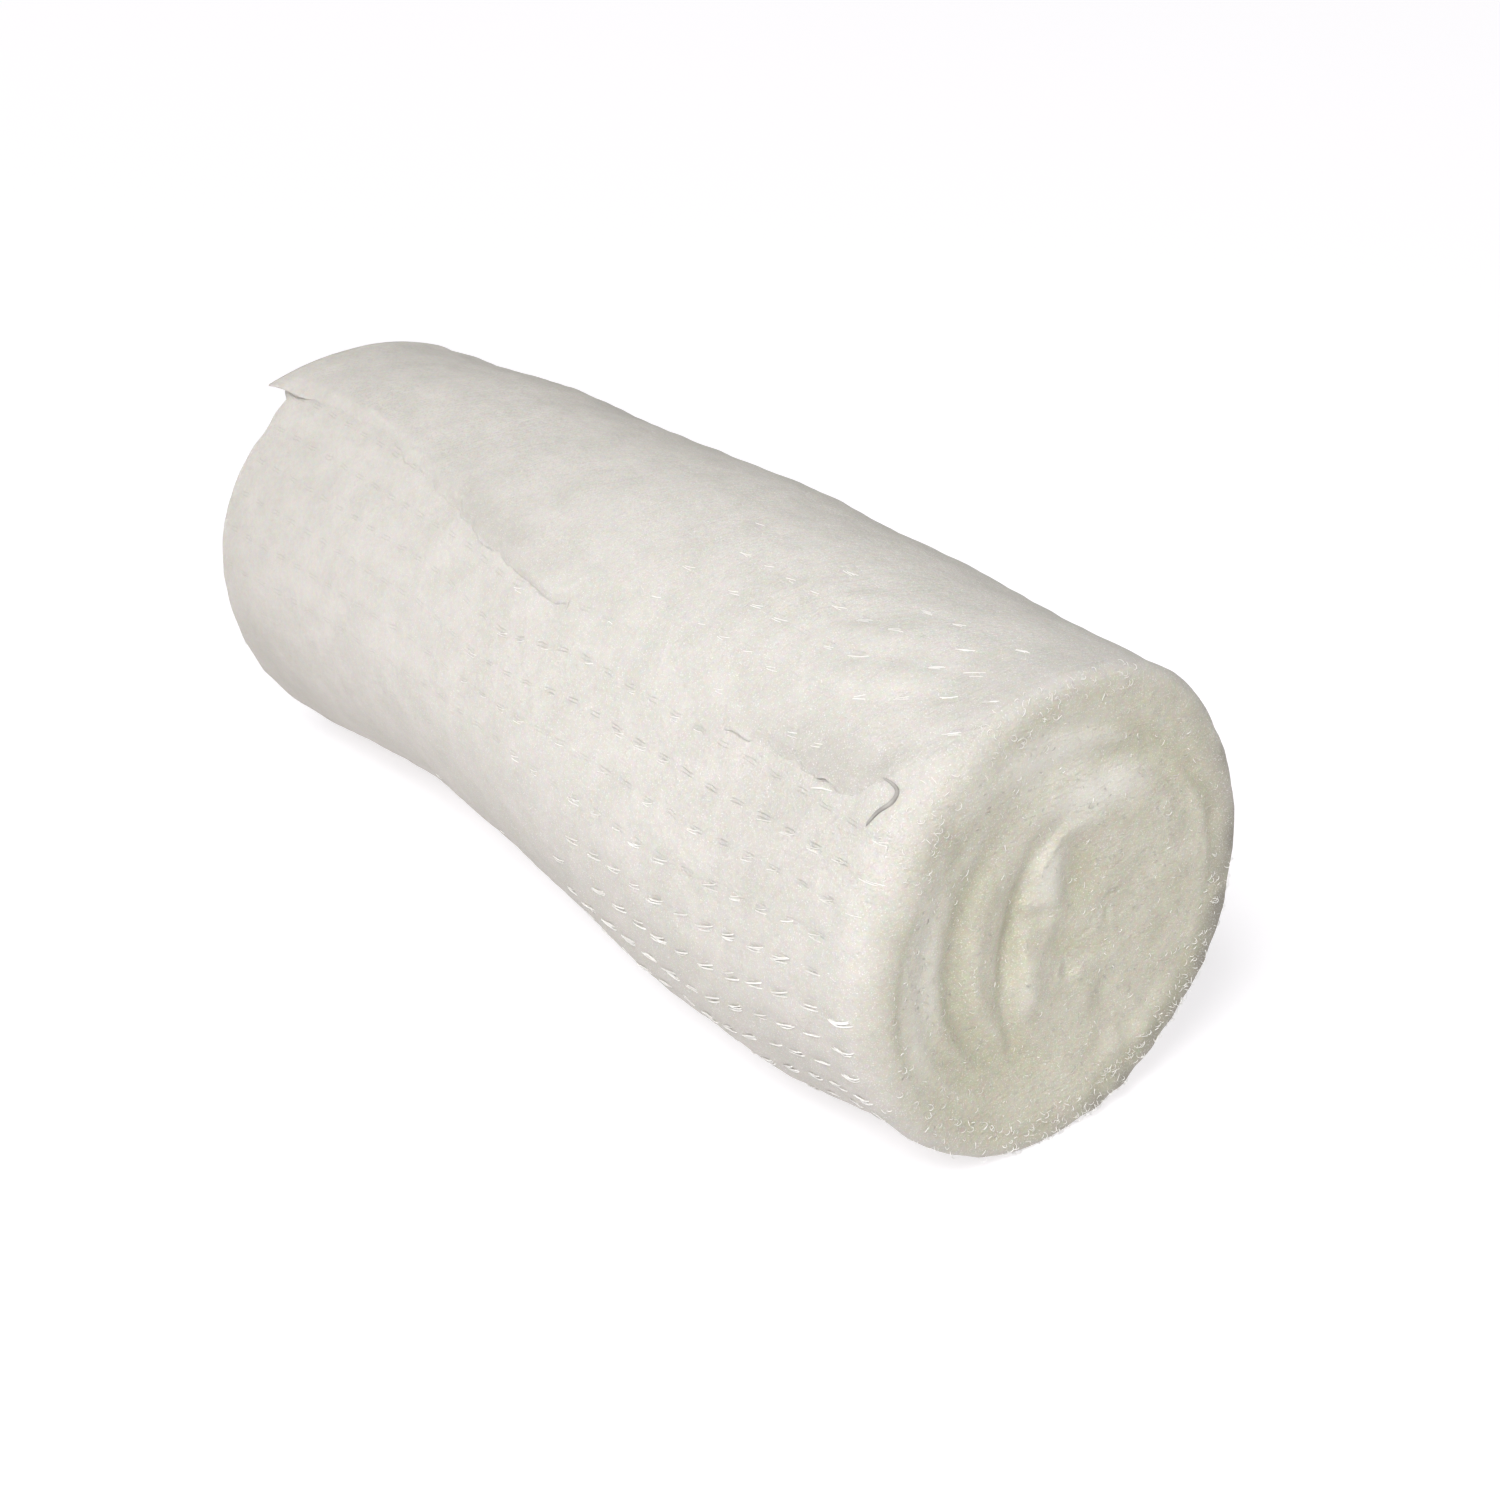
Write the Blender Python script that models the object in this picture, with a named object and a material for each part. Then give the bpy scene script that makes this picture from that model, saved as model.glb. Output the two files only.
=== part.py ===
"""A roll of white gauze bandage, lying on its side with its cut end loose.

One strip of knitted gauze is wound round itself into a soft cylinder that lies along X.
The near end of the roll is at +X.  It is built from two solids:

  wound_roll  every turn but the last part of the outer one, as one soft spiral body
  loose_end   the last part of the outer turn, down to the cut edge, as a thin sheet

The origin is at the bottom, in the middle of the whole, +Z is up, lengths are in metres.
Places along the roll are measured from its middle, and an angle goes round it from +Y over
the top (+Z), as seen from the near end.  The gauze is wound that way too, so the spiral's
radius grows as the angle grows.
"""

import math
from collections import namedtuple

import bmesh
import bpy
from mathutils import Matrix, Vector

MM = 0.001

# ---------------------------------------------------------------- driving dimensions
# The bandage is 100 mm wide.  Its turns have slipped a little, so the roll is longer.
NEAR_X = 50.9 * MM
FAR_X = -51.2 * MM
ROLL_RADIUS = 21 * MM  # halfway through the outer turn
FLAT_DEPTH = 0.5 * MM  # how far the round is pressed in where the roll rests
PLY_THICKNESS = 1.0 * MM  # the crimped gauze of the loose end
PLY_GAP = 0.3 * MM  # air under the loose end
WIND_STEP = PLY_THICKNESS + PLY_GAP  # how much the spiral's radius grows in one turn

ROOT_ANGLE = 72.0  # where the outer turn becomes the loose end, just behind the top
LOOSE_NEAR_X = 48.3 * MM  # the loose end's selvage at the near end
LOOSE_FAR_X = -51.9 * MM  # its other selvage, which stands out of the far end

LIFT = 1.5 * MM  # how far the loose end's far corner has sprung off the roll
LIFT_REACH_X = 9 * MM
LIFT_REACH_ANGLE = 26.0
LIFT_CURVE = 1.6  # above 1, the lift grows faster towards the cut edge

# ---------------------------------------------------------------- mesh fineness
AROUND = 72  # points round the roll
BODY_STATIONS = 18  # rings along the straight part
RIM_STEPS = 4  # rings round the soft edge of each end
SHEET_ALONG = 27  # rows of the loose end along X
SHEET_AROUND = 10  # steps of the loose end round the roll

# ---------------------------------------------------------------- tables
# The cut edge of the bandage: it wanders a little round the roll on its way along X.
CutPoint = namedtuple("CutPoint", "x_mm angle")
CUT_EDGE = (
    CutPoint(-52.0, 125.5),
    CutPoint(-46.0, 121.5),
    CutPoint(-32.0, 120.5),
    CutPoint(-19.0, 127.0),
    CutPoint(-7.0, 132.5),
    CutPoint(8.0, 136.5),
    CutPoint(30.0, 139.5),
    CutPoint(42.0, 139.0),
    CutPoint(48.0, 136.5),
)

# Where the soft roll swells (height above 0) or is pressed in (below 0).
Swell = namedtuple("Swell", "x_mm angle reach_mm reach_angle height_mm")
SWELLS = (
    Swell(-19, 222, 27, 75, -1.5),  # waist, low on the front
    Swell(27, 221, 23, 70, 1.3),  # belly, low on the front
    Swell(50, 225, 16, 50, -0.7),  # where the belly ends
    Swell(10, 58, 36, 60, 1.2),  # swell along the back of the top
    Swell(-50, 66, 16, 50, -1.1),  # droop at the far end, behind the top
    Swell(52, 20, 18, 50, -1.2),  # pressed-in shoulder at the near end
    Swell(52, 304, 18, 40, 0.6),  # bulge near the floor at the near end
    Swell(52, 340, 18, 40, -0.6),  # pressed in above that bulge
    Swell(-52, 222, 16, 40, 0.5),  # the same at the far end, in front
    Swell(-52, 158, 18, 50, 0.7),  # and higher up
    Swell(-24, 62, 20, 45, 0.35),  # along the back of the top again
    Swell(30, 150, 22, 40, -0.4),  # shallow hollow beside the cut edge
)

# How the wound turns stand at each end.  Turn 0 is the core, and a whole number is the
# groove between two groups of turns.  Heights are in mm along the roll's axis.
Turn = namedtuple("Turn", "number height_mm")
NEAR_TURNS = (
    Turn(0.0, -0.9),
    Turn(0.5, -0.7),
    Turn(1.0, -1.2),
    Turn(1.5, -0.3),  # the first turns, pushed out as one oval lump
    Turn(2.0, -3.1),  # deep groove round that lump
    Turn(2.5, -1.6),
    Turn(3.0, -2.1),
    Turn(3.5, -1.7),
    Turn(4.0, -3.2),  # the widest groove
    Turn(4.5, -1.2),
    Turn(5.0, -1.6),
    Turn(5.5, -0.5),
    Turn(6.0, -0.9),
    Turn(6.5, 0.0),
    Turn(7.0, 0.0),
)
FAR_TURNS = (
    Turn(0.0, -1.2),
    Turn(0.5, -0.6),
    Turn(1.0, -1.5),
    Turn(1.5, -0.5),
    Turn(2.0, -1.5),
    Turn(2.5, -0.6),
    Turn(3.0, -1.4),
    Turn(3.5, -0.5),
    Turn(4.0, -1.2),
    Turn(4.5, -0.4),
    Turn(5.0, -0.9),
    Turn(5.5, -0.2),
    Turn(6.0, -0.7),
    Turn(6.5, 0.0),
    Turn(7.0, 0.0),
)

# Each end: which way it faces and where it is, where its edge is softest and how large
# its round is there, where its core sits off the axis, the side on which its turns stand
# furthest apart, how they stand, and how oval they are at the core, and which way.
End = namedtuple(
    "End", "facing x soft_angle soft_edge core_y core_z deep_angle turns oval oval_angle"
)
NEAR_END = End(1, NEAR_X, 162, 3.3 * MM, 1 * MM, -2.2 * MM, 190, NEAR_TURNS, 1.35, 255)
FAR_END = End(-1, FAR_X, 20, 2.0 * MM, 0.5 * MM, 1 * MM, 20, FAR_TURNS, 1.15, 300)

CRISP_EDGE = 1.1 * MM  # the round of an end's edge away from its soft part
SOFT_REACH = 85.0  # how far round that part reaches
TURNS_SEEN = 8  # groups of turns from the core to the outside
TURN_START = 10.0  # the angle at which turn 0 starts
DEEP_FOCUS = 1.3  # above 1, the deep relief keeps closer to the deep side
SHALLOW_GROOVE = 0.3 * MM  # depth of a groove on the side where the turns lie flush
SHALLOW_LEVEL = -0.5 * MM  # how far the core dips there
CORE_LEVEL = -0.7 * MM  # height of the very middle
CORE_SHARE = 0.16  # how far out from it the turns reach their full relief

RIM_FADE = 0.06  # share of the way in from the rim over which the relief grows
STEP_FADE = 0.1  # share over which the step at the loose end's root is levelled out
OVAL_FROM = 0.25  # share of the way out up to which the turns are fully oval
OVAL_FADE = 0.5  # share over which they turn round

# Rings of an end face: how many points each has, and the shares of the way out from the
# core between which they lie.
Band = namedtuple("Band", "points outer_share inner_share rings")
FACE_BANDS = (
    Band(AROUND, 0.86, 0.34, 15),
    Band(AROUND // 2, 0.34, 0.07, 7),
)

GAUZE = (0.86, 0.85, 0.80, 1.0)
GAUZE_END = (0.88, 0.87, 0.83, 1.0)
GAUZE_ROUGHNESS = 0.92


# ---------------------------------------------------------------- small helpers
def hill(distance, reach):
    """1 at no distance, falling smoothly to 0 at the reach and beyond."""
    share = min(abs(distance) / reach, 1.0)
    return (1.0 - share * share) ** 2


def ease(share):
    """0 to 1, level at both ends."""
    share = min(max(share, 0.0), 1.0)
    return share * share * (3.0 - 2.0 * share)


def turned(angle, about):
    """The same angle, within half a turn of `about`."""
    return (angle - about + 180.0) % 360.0 - 180.0 + about


def along_table(rows, place):
    """A smooth curve (Catmull-Rom) through a table of (place, value) rows."""
    place = min(max(place, rows[0][0]), rows[-1][0])
    i = 0
    while i < len(rows) - 2 and place > rows[i + 1][0]:
        i += 1
    before, here = rows[max(i - 1, 0)], rows[i]
    there, after = rows[i + 1], rows[min(i + 2, len(rows) - 1)]
    span = there[0] - here[0]
    t = (place - here[0]) / span
    leave = (there[1] - before[1]) / (there[0] - before[0]) * span
    arrive = (after[1] - here[1]) / (after[0] - here[0]) * span
    return (
        (2 * t**3 - 3 * t**2 + 1) * here[1]
        + (t**3 - 2 * t**2 + t) * leave
        + (3 * t**2 - 2 * t**3) * there[1]
        + (t**3 - t**2) * arrive
    )


# ---------------------------------------------------------------- the roll's form
def cut_angle(x):
    return along_table(CUT_EDGE, x / MM)


def winding_radius(x, angle):
    """The outside of the spiral.  The angle keeps growing: the roll's outside runs from
    ROOT_ANGLE once round, and the loose end lies on the start of the next turn."""
    radius = ROLL_RADIUS + WIND_STEP * ((angle - cut_angle(x)) / 360.0 - 0.5)
    for swell in SWELLS:
        off = turned(angle, swell.angle) - swell.angle
        share = hill(x / MM - swell.x_mm, swell.reach_mm) * hill(off, swell.reach_angle)
        radius += swell.height_mm * MM * share
    return radius


def on_roll(x, angle, radius):
    """A point at that angle and radius, not below the surface that the roll rests on."""
    turn = math.radians(angle)
    height = ROLL_RADIUS - FLAT_DEPTH + radius * math.sin(turn)
    return Vector((x, radius * math.cos(turn), max(height, 0.0)))


def edge_size(end, angle):
    """The radius of an end's rounded edge at that angle."""
    off = turned(angle, end.soft_angle) - end.soft_angle
    return CRISP_EDGE + (end.soft_edge - CRISP_EDGE) * hill(off, SOFT_REACH)


def edge_ring(end, tip_angle):
    """A ring of the soft edge: at 0 it leaves the side, at 90 it would reach the face."""
    tip = math.radians(tip_angle)
    ring = []
    for i in range(AROUND + 1):
        angle = ROOT_ANGLE + 360.0 * i / AROUND
        edge = edge_size(end, angle)
        x = end.x - end.facing * edge * (1.0 - math.sin(tip))
        drop = edge * (1.0 - math.cos(tip))
        ring.append(on_roll(x, angle, winding_radius(x, angle) - drop))
    return ring


def body_ring(share):
    """One turn round the roll, from under the loose end to the step at its root.  The
    share says how far it is from the far end's soft edge to the near one's."""
    ring = []
    for i in range(AROUND + 1):
        angle = ROOT_ANGLE + 360.0 * i / AROUND
        start = FAR_END.x + edge_size(FAR_END, angle)
        stop = NEAR_END.x - edge_size(NEAR_END, angle)
        x = start + (stop - start) * share
        ring.append(on_roll(x, angle, winding_radius(x, angle)))
    return ring


def oval_stretch(end, share, angle):
    """How much further out a turn near the core lies, because the core is oval."""
    off = math.radians(angle - end.oval_angle)
    stretch = 1.0 / math.hypot(math.cos(off) / end.oval, math.sin(off) * end.oval)
    near_core = 1.0 - ease((share - OVAL_FROM) / OVAL_FADE)
    return 1.0 + (stretch - 1.0) * near_core


def turn_height(end, share, angle):
    """How far the wound turns stand out of the end, at a share of the way from the core."""
    angle = turned(angle, end.deep_angle)
    number = share * TURNS_SEEN - (angle - TURN_START) / 360.0
    deep = along_table(end.turns, number) * MM
    groove = (0.5 + 0.5 * math.cos(2 * math.pi * number)) ** 2
    shallow = SHALLOW_LEVEL * (1.0 - ease(share)) - SHALLOW_GROOVE * groove
    off = math.radians(angle - end.deep_angle)
    weight = (0.5 + 0.5 * math.cos(off)) ** DEEP_FOCUS
    height = shallow + (deep - shallow) * weight
    height = CORE_LEVEL + (height - CORE_LEVEL) * ease(share / CORE_SHARE)
    return height * ease((FACE_BANDS[0].outer_share - share) / RIM_FADE)


def face_ring(end, share, points):
    """A ring of the end face, at a share of the way from the core to the outside.  The
    step at the loose end's root is levelled out on the way in."""
    outermost = FACE_BANDS[0].outer_share
    core = Vector((end.x, end.core_y, ROLL_RADIUS - FLAT_DEPTH + end.core_z))
    ring = []
    for i in range(points):
        angle = ROOT_ANGLE + 360.0 * i / points
        step = WIND_STEP * (i / points - 0.5)
        levelled = ease((outermost - share) / STEP_FADE)
        radius = winding_radius(end.x, angle) - step * levelled
        rim = on_roll(end.x, angle, radius - edge_size(end, angle))
        point = core.lerp(rim, share / outermost * oval_stretch(end, share, angle))
        point.x += end.facing * turn_height(end, share, angle)
        ring.append(point)
    return ring


def end_rings(end):
    """All rings of one end: the soft edge, then the wound turns inward to the core."""
    rings = [edge_ring(end, 90.0 * i / (RIM_STEPS + 1)) for i in range(1, RIM_STEPS + 1)]
    for number, band in enumerate(FACE_BANDS):
        for i in range(min(number, 1), band.rings + 1):
            reach = band.inner_share - band.outer_share
            share = band.outer_share + reach * i / band.rings
            rings.append(face_ring(end, share, band.points))
    return rings


# ---------------------------------------------------------------- meshing
def add_ring(bm, points):
    return [bm.verts.new(p) for p in points]


def join_rings(bm, ring, following):
    """Faces between two rings, which may have equal counts, one point fewer at the step
    of the loose end's root, or half as many points."""
    count, others = len(ring), len(following)
    if others * 2 == count:
        for i in range(others):
            a, b, c = ring[2 * i], ring[2 * i + 1], ring[(2 * i + 2) % count]
            d, e = following[i], following[(i + 1) % others]
            bm.faces.new((a, b, d))
            bm.faces.new((b, c, e))
            bm.faces.new((b, e, d))
        return
    for i in range(others):
        pair = (i + 1) % others
        bm.faces.new((ring[i], ring[(i + 1) % count], following[pair], following[i]))
    if others == count - 1:
        bm.faces.new((ring[-1], ring[0], following[0]))


def fan(bm, ring):
    """Closes a ring with a point in its middle."""
    tip = bm.verts.new(sum((v.co for v in ring), Vector()) / len(ring))
    for i, vert in enumerate(ring):
        bm.faces.new((vert, ring[(i + 1) % len(ring)], tip))


def finished(bm, name, colour):
    """Turns a bmesh into a named, smooth-shaded object with its own material."""
    bmesh.ops.triangulate(bm, faces=bm.faces[:])
    bmesh.ops.recalc_face_normals(bm, faces=bm.faces[:])
    mesh = bpy.data.meshes.new(name)
    bm.to_mesh(mesh)
    bm.free()
    mesh.shade_smooth()
    mesh.set_sharp_from_angle(angle=math.radians(50))
    mesh.materials.append(gauze_material(name, colour))
    obj = bpy.data.objects.new(name, mesh)
    bpy.context.scene.collection.objects.link(obj)
    return obj


def gauze_material(name, colour):
    material = bpy.data.materials.new(name + "_gauze")
    material.use_nodes = True
    shader = material.node_tree.nodes["Principled BSDF"]
    shader.inputs["Base Color"].default_value = colour
    shader.inputs["Roughness"].default_value = GAUZE_ROUGHNESS
    shader.inputs["Metallic"].default_value = 0.0
    return material


# ---------------------------------------------------------------- the two solids
def wound_roll():
    """The spiral body, closed by its two ends of standing turns."""
    bm = bmesh.new()
    last = BODY_STATIONS - 1
    body = [add_ring(bm, body_ring(i / last)) for i in range(BODY_STATIONS)]
    for ring, following in zip(body, body[1:]):
        join_rings(bm, ring, following)
    for end, first in ((NEAR_END, body[-1]), (FAR_END, body[0])):
        rings = [first] + [add_ring(bm, points) for points in end_rings(end)]
        for ring, following in zip(rings, rings[1:]):
            join_rings(bm, ring, following)
        fan(bm, rings[-1])
    return finished(bm, "wound_roll", GAUZE)


def near_edge_drop(x, angle):
    """How far the soft edge of the near end has fallen away at this place."""
    edge = edge_size(NEAR_END, angle)
    past = x - (NEAR_END.x - edge)
    if past <= 0.0:
        return 0.0
    return edge * (1.0 - math.sqrt(1.0 - (past / edge) ** 2))


def corner_lift(x, angle):
    """The spring of the loose end's far corner, which stands off the roll."""
    away = hill(x - LOOSE_FAR_X, LIFT_REACH_X)
    back = cut_angle(x) - angle
    return LIFT * away * max(0.0, 1.0 - back / LIFT_REACH_ANGLE) ** LIFT_CURVE


def loose_end():
    """The outer turn from its root to the cut edge: a sheet that lies on the roll."""
    bm = bmesh.new()
    root = ROOT_ANGLE + math.degrees(PLY_GAP / ROLL_RADIUS)
    under, over = [], []
    for i in range(SHEET_ALONG + 1):
        x = LOOSE_FAR_X + (LOOSE_NEAR_X - LOOSE_FAR_X) * i / SHEET_ALONG
        low, high = [], []
        for j in range(SHEET_AROUND + 1):
            angle = root + (cut_angle(x) - root) * j / SHEET_AROUND
            radius = winding_radius(x, angle + 360.0) - near_edge_drop(x, angle)
            radius += corner_lift(x, angle)
            high.append(on_roll(x, angle, radius))
            low.append(on_roll(x, angle, radius - PLY_THICKNESS))
        under.append(add_ring(bm, low))
        over.append(add_ring(bm, high))
    for i in range(SHEET_ALONG):
        for j in range(SHEET_AROUND):
            for side in (under, over):
                near, far = side[i + 1], side[i]
                bm.faces.new((far[j], near[j], near[j + 1], far[j + 1]))
        for j in (0, SHEET_AROUND):
            bm.faces.new((under[i][j], under[i + 1][j], over[i + 1][j], over[i][j]))
    for i in (0, SHEET_ALONG):
        for j in range(SHEET_AROUND):
            bm.faces.new((under[i][j], under[i][j + 1], over[i][j + 1], over[i][j]))
    return finished(bm, "loose_end", GAUZE_END)


def stand_on_origin(objects):
    """Moves the meshes so that the origin is at the bottom, in the middle of their box."""
    places = [v.co for obj in objects for v in obj.data.vertices]
    low = [min(p[axis] for p in places) for axis in range(3)]
    high = [max(p[axis] for p in places) for axis in range(3)]
    shift = Vector((-(low[0] + high[0]) / 2, -(low[1] + high[1]) / 2, -low[2]))
    for obj in objects:
        obj.data.transform(Matrix.Translation(shift))


def main():
    for obj in list(bpy.data.objects):
        bpy.data.objects.remove(obj, do_unlink=True)
    stand_on_origin([wound_roll(), loose_end()])


main()
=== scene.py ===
# %% [markdown]
# # A roll of gauze bandage
#
# The real thing is one strip of white knitted gauze, wound into a soft roll.  Here it lies
# on a pale table with its cut end loose along the top.  The measured CAD frame comes first,
# because every piece of cloth below has to lie on it.

# %% Load the frame
import math

import bpy
import numpy as np
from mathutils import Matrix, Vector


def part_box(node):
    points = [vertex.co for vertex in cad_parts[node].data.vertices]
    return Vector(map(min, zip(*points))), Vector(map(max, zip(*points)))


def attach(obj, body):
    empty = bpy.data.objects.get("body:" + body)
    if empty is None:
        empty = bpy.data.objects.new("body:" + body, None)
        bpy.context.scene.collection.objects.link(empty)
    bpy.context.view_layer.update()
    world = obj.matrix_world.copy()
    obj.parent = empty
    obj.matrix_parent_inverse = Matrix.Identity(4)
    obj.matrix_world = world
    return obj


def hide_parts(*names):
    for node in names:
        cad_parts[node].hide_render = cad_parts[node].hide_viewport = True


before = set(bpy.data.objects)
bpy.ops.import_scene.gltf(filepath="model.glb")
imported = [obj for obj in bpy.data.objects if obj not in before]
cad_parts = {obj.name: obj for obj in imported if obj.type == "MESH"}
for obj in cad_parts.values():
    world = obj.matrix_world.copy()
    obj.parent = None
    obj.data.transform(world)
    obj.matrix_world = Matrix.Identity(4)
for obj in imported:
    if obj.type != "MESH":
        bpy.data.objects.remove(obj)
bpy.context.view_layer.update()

MM = 0.001
scene = bpy.context.scene
scene.view_settings.view_transform = "Standard"

# %% [markdown]
# ## The camera
#
# A cylinder and a pinhole camera were fitted to the roll's outline in the photo.  That gives
# where the camera stood, which way it looked and how long its lens was.  A camera looks along
# its own -Z, so its Z axis points back from the roll.

# %% Set up the camera
CAMERA_PLACE = (155.61, -110.17, 114.52)  # mm
CAMERA_YAW = 0.917  # radians, turned from looking along +Y
CAMERA_PITCH = 0.483  # radians, looking down
CAMERA_LENS, SENSOR_WIDTH = 54.9, 36.0  # mm

camera_data = bpy.data.cameras.new("camera")
camera_data.lens = CAMERA_LENS
camera_data.sensor_width = SENSOR_WIDTH
camera_data.clip_start = 10 * MM
camera = bpy.data.objects.new("camera", camera_data)
camera.location = [c * MM for c in CAMERA_PLACE]
camera.rotation_euler = (math.pi / 2 - CAMERA_PITCH, 0.0, CAMERA_YAW)
scene.collection.objects.link(camera)
scene.camera = camera
print("the camera stands", round(math.hypot(*CAMERA_PLACE)), "mm from under the roll's middle")

# %% [markdown]
# ## The roll's form
#
# The strip is wound in a spiral, so the roll's radius grows slowly with the angle.  The
# angle goes round from +Y over the top, as seen from the near end (+X).  These are the same
# numbers as in the CAD, in millimetres, so the cloth lies where its solids are.  NumPy works
# out all the points of a piece in one go, which keeps a fine mesh quick.

# %% Smooth steps, hills and curves
def hill(distance, reach):
    """1 at no distance, falling smoothly to 0 at the reach and beyond."""
    share = np.minimum(np.abs(distance) / reach, 1.0)
    return (1.0 - share * share) ** 2


def ease(share):
    """0 to 1, level at both ends."""
    share = np.clip(share, 0.0, 1.0)
    return share * share * (3.0 - 2.0 * share)


def turned(angle, about):
    """The same angle, within half a turn of `about`."""
    return (angle - about + 180.0) % 360.0 - 180.0 + about


def along_table(rows, place, column=1):
    """A smooth curve (Catmull-Rom) through a table's rows: a place, then values."""
    table = np.array(rows, float)
    keys, values = table[:, 0], table[:, column]
    place = np.clip(place, keys[0], keys[-1])
    i = np.clip(np.searchsorted(keys, place, side="right") - 1, 0, len(keys) - 2)
    before, after = np.maximum(i - 1, 0), np.minimum(i + 2, len(keys) - 1)
    span = keys[i + 1] - keys[i]
    t = (place - keys[i]) / span
    leave = (values[i + 1] - values[before]) / (keys[i + 1] - keys[before]) * span
    arrive = (values[after] - values[i]) / (keys[after] - keys[i]) * span
    return (
        (2 * t**3 - 3 * t**2 + 1) * values[i]
        + (t**3 - 2 * t**2 + t) * leave
        + (3 * t**2 - 2 * t**3) * values[i + 1]
        + (t**3 - t**2) * arrive
    )


# %% The spiral and its swells
ROLL_RADIUS = 21.0
FLAT_DEPTH = 0.5  # how far the round is pressed in where the roll rests
WIND_STEP = 1.3  # how much the radius grows in one turn
AXIS_HEIGHT = ROLL_RADIUS - FLAT_DEPTH
ROOT_ANGLE = 72.0  # where the outer turn becomes the loose end
DEGREE = math.pi / 180 * ROLL_RADIUS  # one degree round the roll, in mm

# The cut edge: (place along the roll, angle).
CUT_EDGE = (
    (-52, 125.5), (-46, 121.5), (-32, 120.5), (-19, 127), (-7, 132.5),
    (8, 136.5), (30, 139.5), (42, 139), (48, 136.5),
)

# Swells and hollows: (place along the roll, angle, reach along, reach round in degrees, height).
SWELLS = (
    (-19, 222, 27, 75, -1.5),  # waist, low on the front
    (27, 221, 23, 70, 1.3),  # belly, low on the front
    (50, 225, 16, 50, -0.7),  # where the belly ends
    (10, 58, 36, 60, 1.2),  # swell along the back of the top
    (-50, 66, 16, 50, -1.1),  # droop at the far end, behind the top
    (52, 20, 18, 50, -1.2),  # pressed-in shoulder at the near end
    (52, 301, 18, 44, -0.28),  # flatter near the floor at the near end
    (52, 340, 18, 40, -0.6),  # and above that
    (-52, 222, 16, 40, 0.5),  # the same at the far end, in front
    (-52, 158, 18, 50, 0.7),  # and higher up
    (-24, 62, 20, 45, 0.35),  # along the back of the top again
    (30, 150, 22, 40, -0.4),  # shallow hollow beside the cut edge
    (45, 62, 13, 40, 0.25),  # the top's back near the near end
)


def cut_angle(x):
    return along_table(CUT_EDGE, x)


def winding_radius(x, angle):
    radius = ROLL_RADIUS + WIND_STEP * ((angle - cut_angle(x)) / 360.0 - 0.5)
    for at, round_at, reach, reach_round, height in SWELLS:
        off = turned(angle, round_at) - round_at
        radius = radius + height * hill(x - at, reach) * hill(off, reach_round)
    return radius


def on_roll(x, angle, radius):
    """Points at that angle and radius, not below the table."""
    turn = np.radians(angle)
    height = np.maximum(AXIS_HEIGHT + radius * np.sin(turn), 0.0)
    return np.stack(np.broadcast_arrays(x, radius * np.cos(turn), height), -1)


print("radius at the belly:", round(float(winding_radius(27.0, 221.0)), 2), "mm")


# %% [markdown]
# ## Soft unevenness
#
# Wound cloth is never smooth: it has shallow lumps a few millimetres across and finer
# crumples between them.  A sum of plane waves in space makes lumps of a chosen size, which
# run on without a seam from piece to piece.

# %% Lumps of a chosen size
def plane_waves(count, shortest, longest, seed):
    """Seeded waves in all directions, with lengths in mm between the two."""
    rng = np.random.default_rng(seed)
    ways = rng.normal(size=(count, 3))
    ways /= np.linalg.norm(ways, axis=1)[:, None]
    lengths = rng.uniform(shortest, longest, count)
    return ways * (2 * math.pi / lengths)[:, None], rng.uniform(0, 2 * math.pi, count)


def lumps(points, waves):
    """The waves' sum at each point, about -1 to 1."""
    ways, starts = waves
    total = np.zeros(points.shape[:-1])
    for way, start in zip(ways, starts):
        total += np.cos(points @ way + start)
    return total / math.sqrt(len(starts))


BROAD_LUMPS = plane_waves(28, shortest=9, longest=22, seed=11)
SMALL_LUMPS = plane_waves(40, shortest=2.4, longest=6, seed=12)
CRUMPLE = plane_waves(48, shortest=0.9, longest=2.2, seed=13)
print("waves:", *(len(waves[1]) for waves in (BROAD_LUMPS, SMALL_LUMPS, CRUMPLE)))

# %% [markdown]
# ## The knit's own map
#
# Lengthwise chains of stitches (wales) run round the roll, 3.1 mm apart, and short shiny
# weft threads cross between them in rows 3.7 mm apart.  The rows follow the strip as it was
# pulled and wound, so they bend.  Two numbers say where a point is in that knit: its wale and
# its row.  Relief, threads and colour all read the same two numbers, so they agree.

# %% Where a point lies in the knit
WALE_PITCH = 3.12  # mm along the roll
ROW_PITCH = 10.0  # degrees, 3.7 mm round the roll
FIRST_ROW = 144.0  # the row just below the cut edge
BEND_FROM, BEND_LENGTH = 28.0, 22.0  # from here on, the rows turn upward to the near end
TOP_SLOPE = 0.9  # how steeply they cross the loose end there, in degrees per mm


def row_bend(x, angle):
    """How many degrees a row has moved at this place."""
    angle = turned(angle, 150.0)
    near = ease((x - BEND_FROM) / BEND_LENGTH)
    # On the front the rows close up towards the rim; the ones lower down move farther.
    front = -0.2 * np.clip(angle - 140.0, 0.0, 75.0) * near * ease((325.0 - angle) / 90.0)
    top = -TOP_SLOPE * (x - BEND_FROM) * near * hill(angle - 112.0, 30.0)
    # One dip where the cut edge pulls at the cloth, and a slow sway all over.
    pulled = 4.5 * hill(x + 2.0, 13.0) * hill(angle - 148.0, 26.0)
    sway = np.sin(x / 8.7) * np.sin(np.radians(2 * angle) + 1.0)
    return front + top + pulled + sway


def knit_row(x, angle):
    return (angle - row_bend(x, angle) - FIRST_ROW) / ROW_PITCH


def knit_wale(x, angle):
    return x / WALE_PITCH + 0.12 * np.sin(np.radians(3 * angle) + x / 17.0)


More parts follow.
